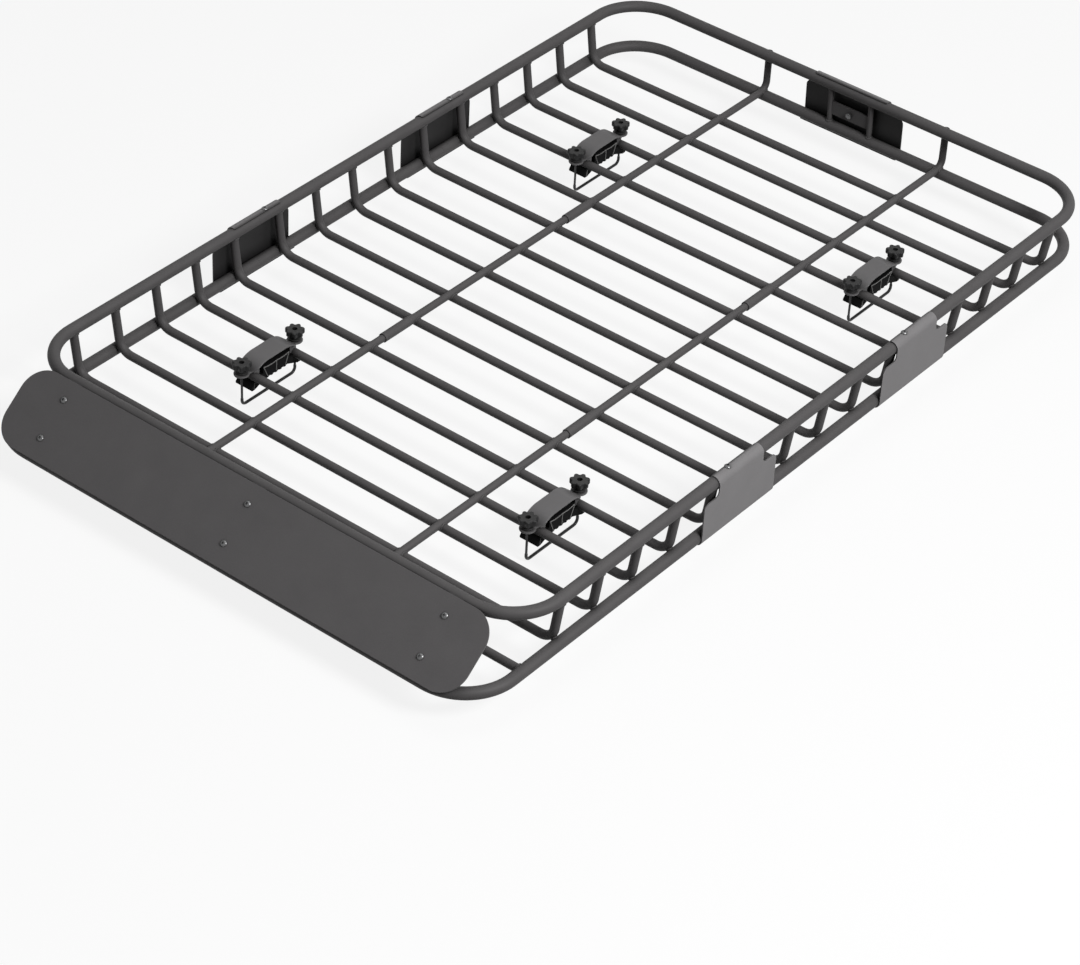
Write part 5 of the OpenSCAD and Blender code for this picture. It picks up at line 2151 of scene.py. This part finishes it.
@dataclass(frozen=True)
class Studio:
    """The floor, the backdrop and the lights.

    Attributes:
        floor_r: Radius of the floor.
        floor_colour: Colour of the floor.
        floor_bounce: Colour of the floor for the light that it throws back.
        floor_own: Share of the floor's look that is its own colour, in which no shadow shows.
        sky: Level of the light from all round.
        lights: The soft lights.
    """

    floor_r: float = 14.0
    floor_colour: Colour = (0.8, 0.8, 0.8)
    floor_bounce: Colour = (0.13, 0.13, 0.13)
    floor_own: float = 0.86
    sky: float = 0.07
    lights: tuple[SoftLight, ...] = (
        SoftLight("key_light", 84.0, 42.0, 1.5, 236.0),
        SoftLight("front_light", -10.0, 38.0, 3.0, 14.0),
        SoftLight("top_light", 200.0, 80.0, 2.4, 42.0),
    )

    def build(self) -> None:
        """Adds the floor, the backdrop, the lights and the view settings."""
        bpy.context.scene.view_settings.view_transform = "Standard"
        for light in self.lights:
            light.build()
        self._floor()
        self._backdrop()

    @staticmethod
    def _seen(nodes: NodeTree) -> object:
        """Gives a socket that is 1 for the rays that look at the background."""
        rays = nodes.node("LightPath").outputs
        seen = nodes.maths("MAXIMUM", rays["Is Camera Ray"], rays["Is Glossy Ray"])
        return nodes.maths("MAXIMUM", seen, rays["Is Transmission Ray"])

    def _floor(self) -> None:
        """Adds the plain pale floor, which keeps the basket's shadow."""
        shape, count = Shape(), 96
        rings = [circle(self.floor_r * share, -0.5 * MM, count) for share in (1.0, 0.6, 0.3, 0.1)]
        shape.loft(rings, caps=False)
        shape.faces.append(tuple(range(len(shape.points) - count, len(shape.points))))
        floor = bpy.data.objects.new("studio_floor", shape.mesh("studio_floor", 40.0))
        bpy.context.scene.collection.objects.link(floor)
        made = bpy.data.materials.new("pale_floor")
        made.use_nodes = True
        made.node_tree.nodes.clear()
        nodes = NodeTree(made.node_tree)
        matt, own, mix = nodes.node("BsdfDiffuse"), nodes.node("Emission"), nodes.node("MixShader")
        seen = self._seen(nodes)
        shade = nodes.blend(seen, (*self.floor_bounce, 1.0), (*self.floor_colour, 1.0))
        nodes.join(shade, matt.inputs["Color"])
        nodes.join((1.0, 1.0, 1.0, 1.0), own.inputs["Color"])
        nodes.join(nodes.maths("MULTIPLY", seen, self.floor_own), mix.inputs[0])
        nodes.join(matt.outputs[0], mix.inputs[1])
        nodes.join(own.outputs[0], mix.inputs[2])
        nodes.join(mix.outputs[0], nodes.node("OutputMaterial").inputs["Surface"])
        floor.data.materials.append(made)
        floor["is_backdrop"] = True

    def _backdrop(self) -> None:
        """Sets the world: white where it is looked at, a plain level of light elsewhere."""
        world = bpy.data.worlds.new("studio_backdrop")
        world.use_nodes = True
        world.node_tree.nodes.clear()
        nodes = NodeTree(world.node_tree)
        shade = nodes.node("Background")
        nodes.join((1.0, 1.0, 1.0, 1.0), shade.inputs["Color"])
        level = nodes.maths("MULTIPLY", self._seen(nodes), 1.0 - self.sky)
        nodes.join(nodes.maths("ADD", level, self.sky), shade.inputs["Strength"])
        nodes.join(shade.outputs[0], nodes.node("OutputWorld").inputs["Surface"])
        bpy.context.scene.world = world


def main() -> None:
    """Builds the studio and every piece, in order."""
    logging.basicConfig(level=logging.INFO, format="%(name)s: %(message)s")
    Camera().build()
    Studio().build()
    Basket().build()
    SheetParts().build()
    for corner in ("front_left", "front_right", "rear_left", "rear_right"):
        Clamp(corner).build()
    boxes = {"cad": CAD_BOX, "visual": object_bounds()}
    {name: [list(map(float, corner)) for corner in box] for name, box in boxes.items()}


if __name__ == "__main__":
    main()
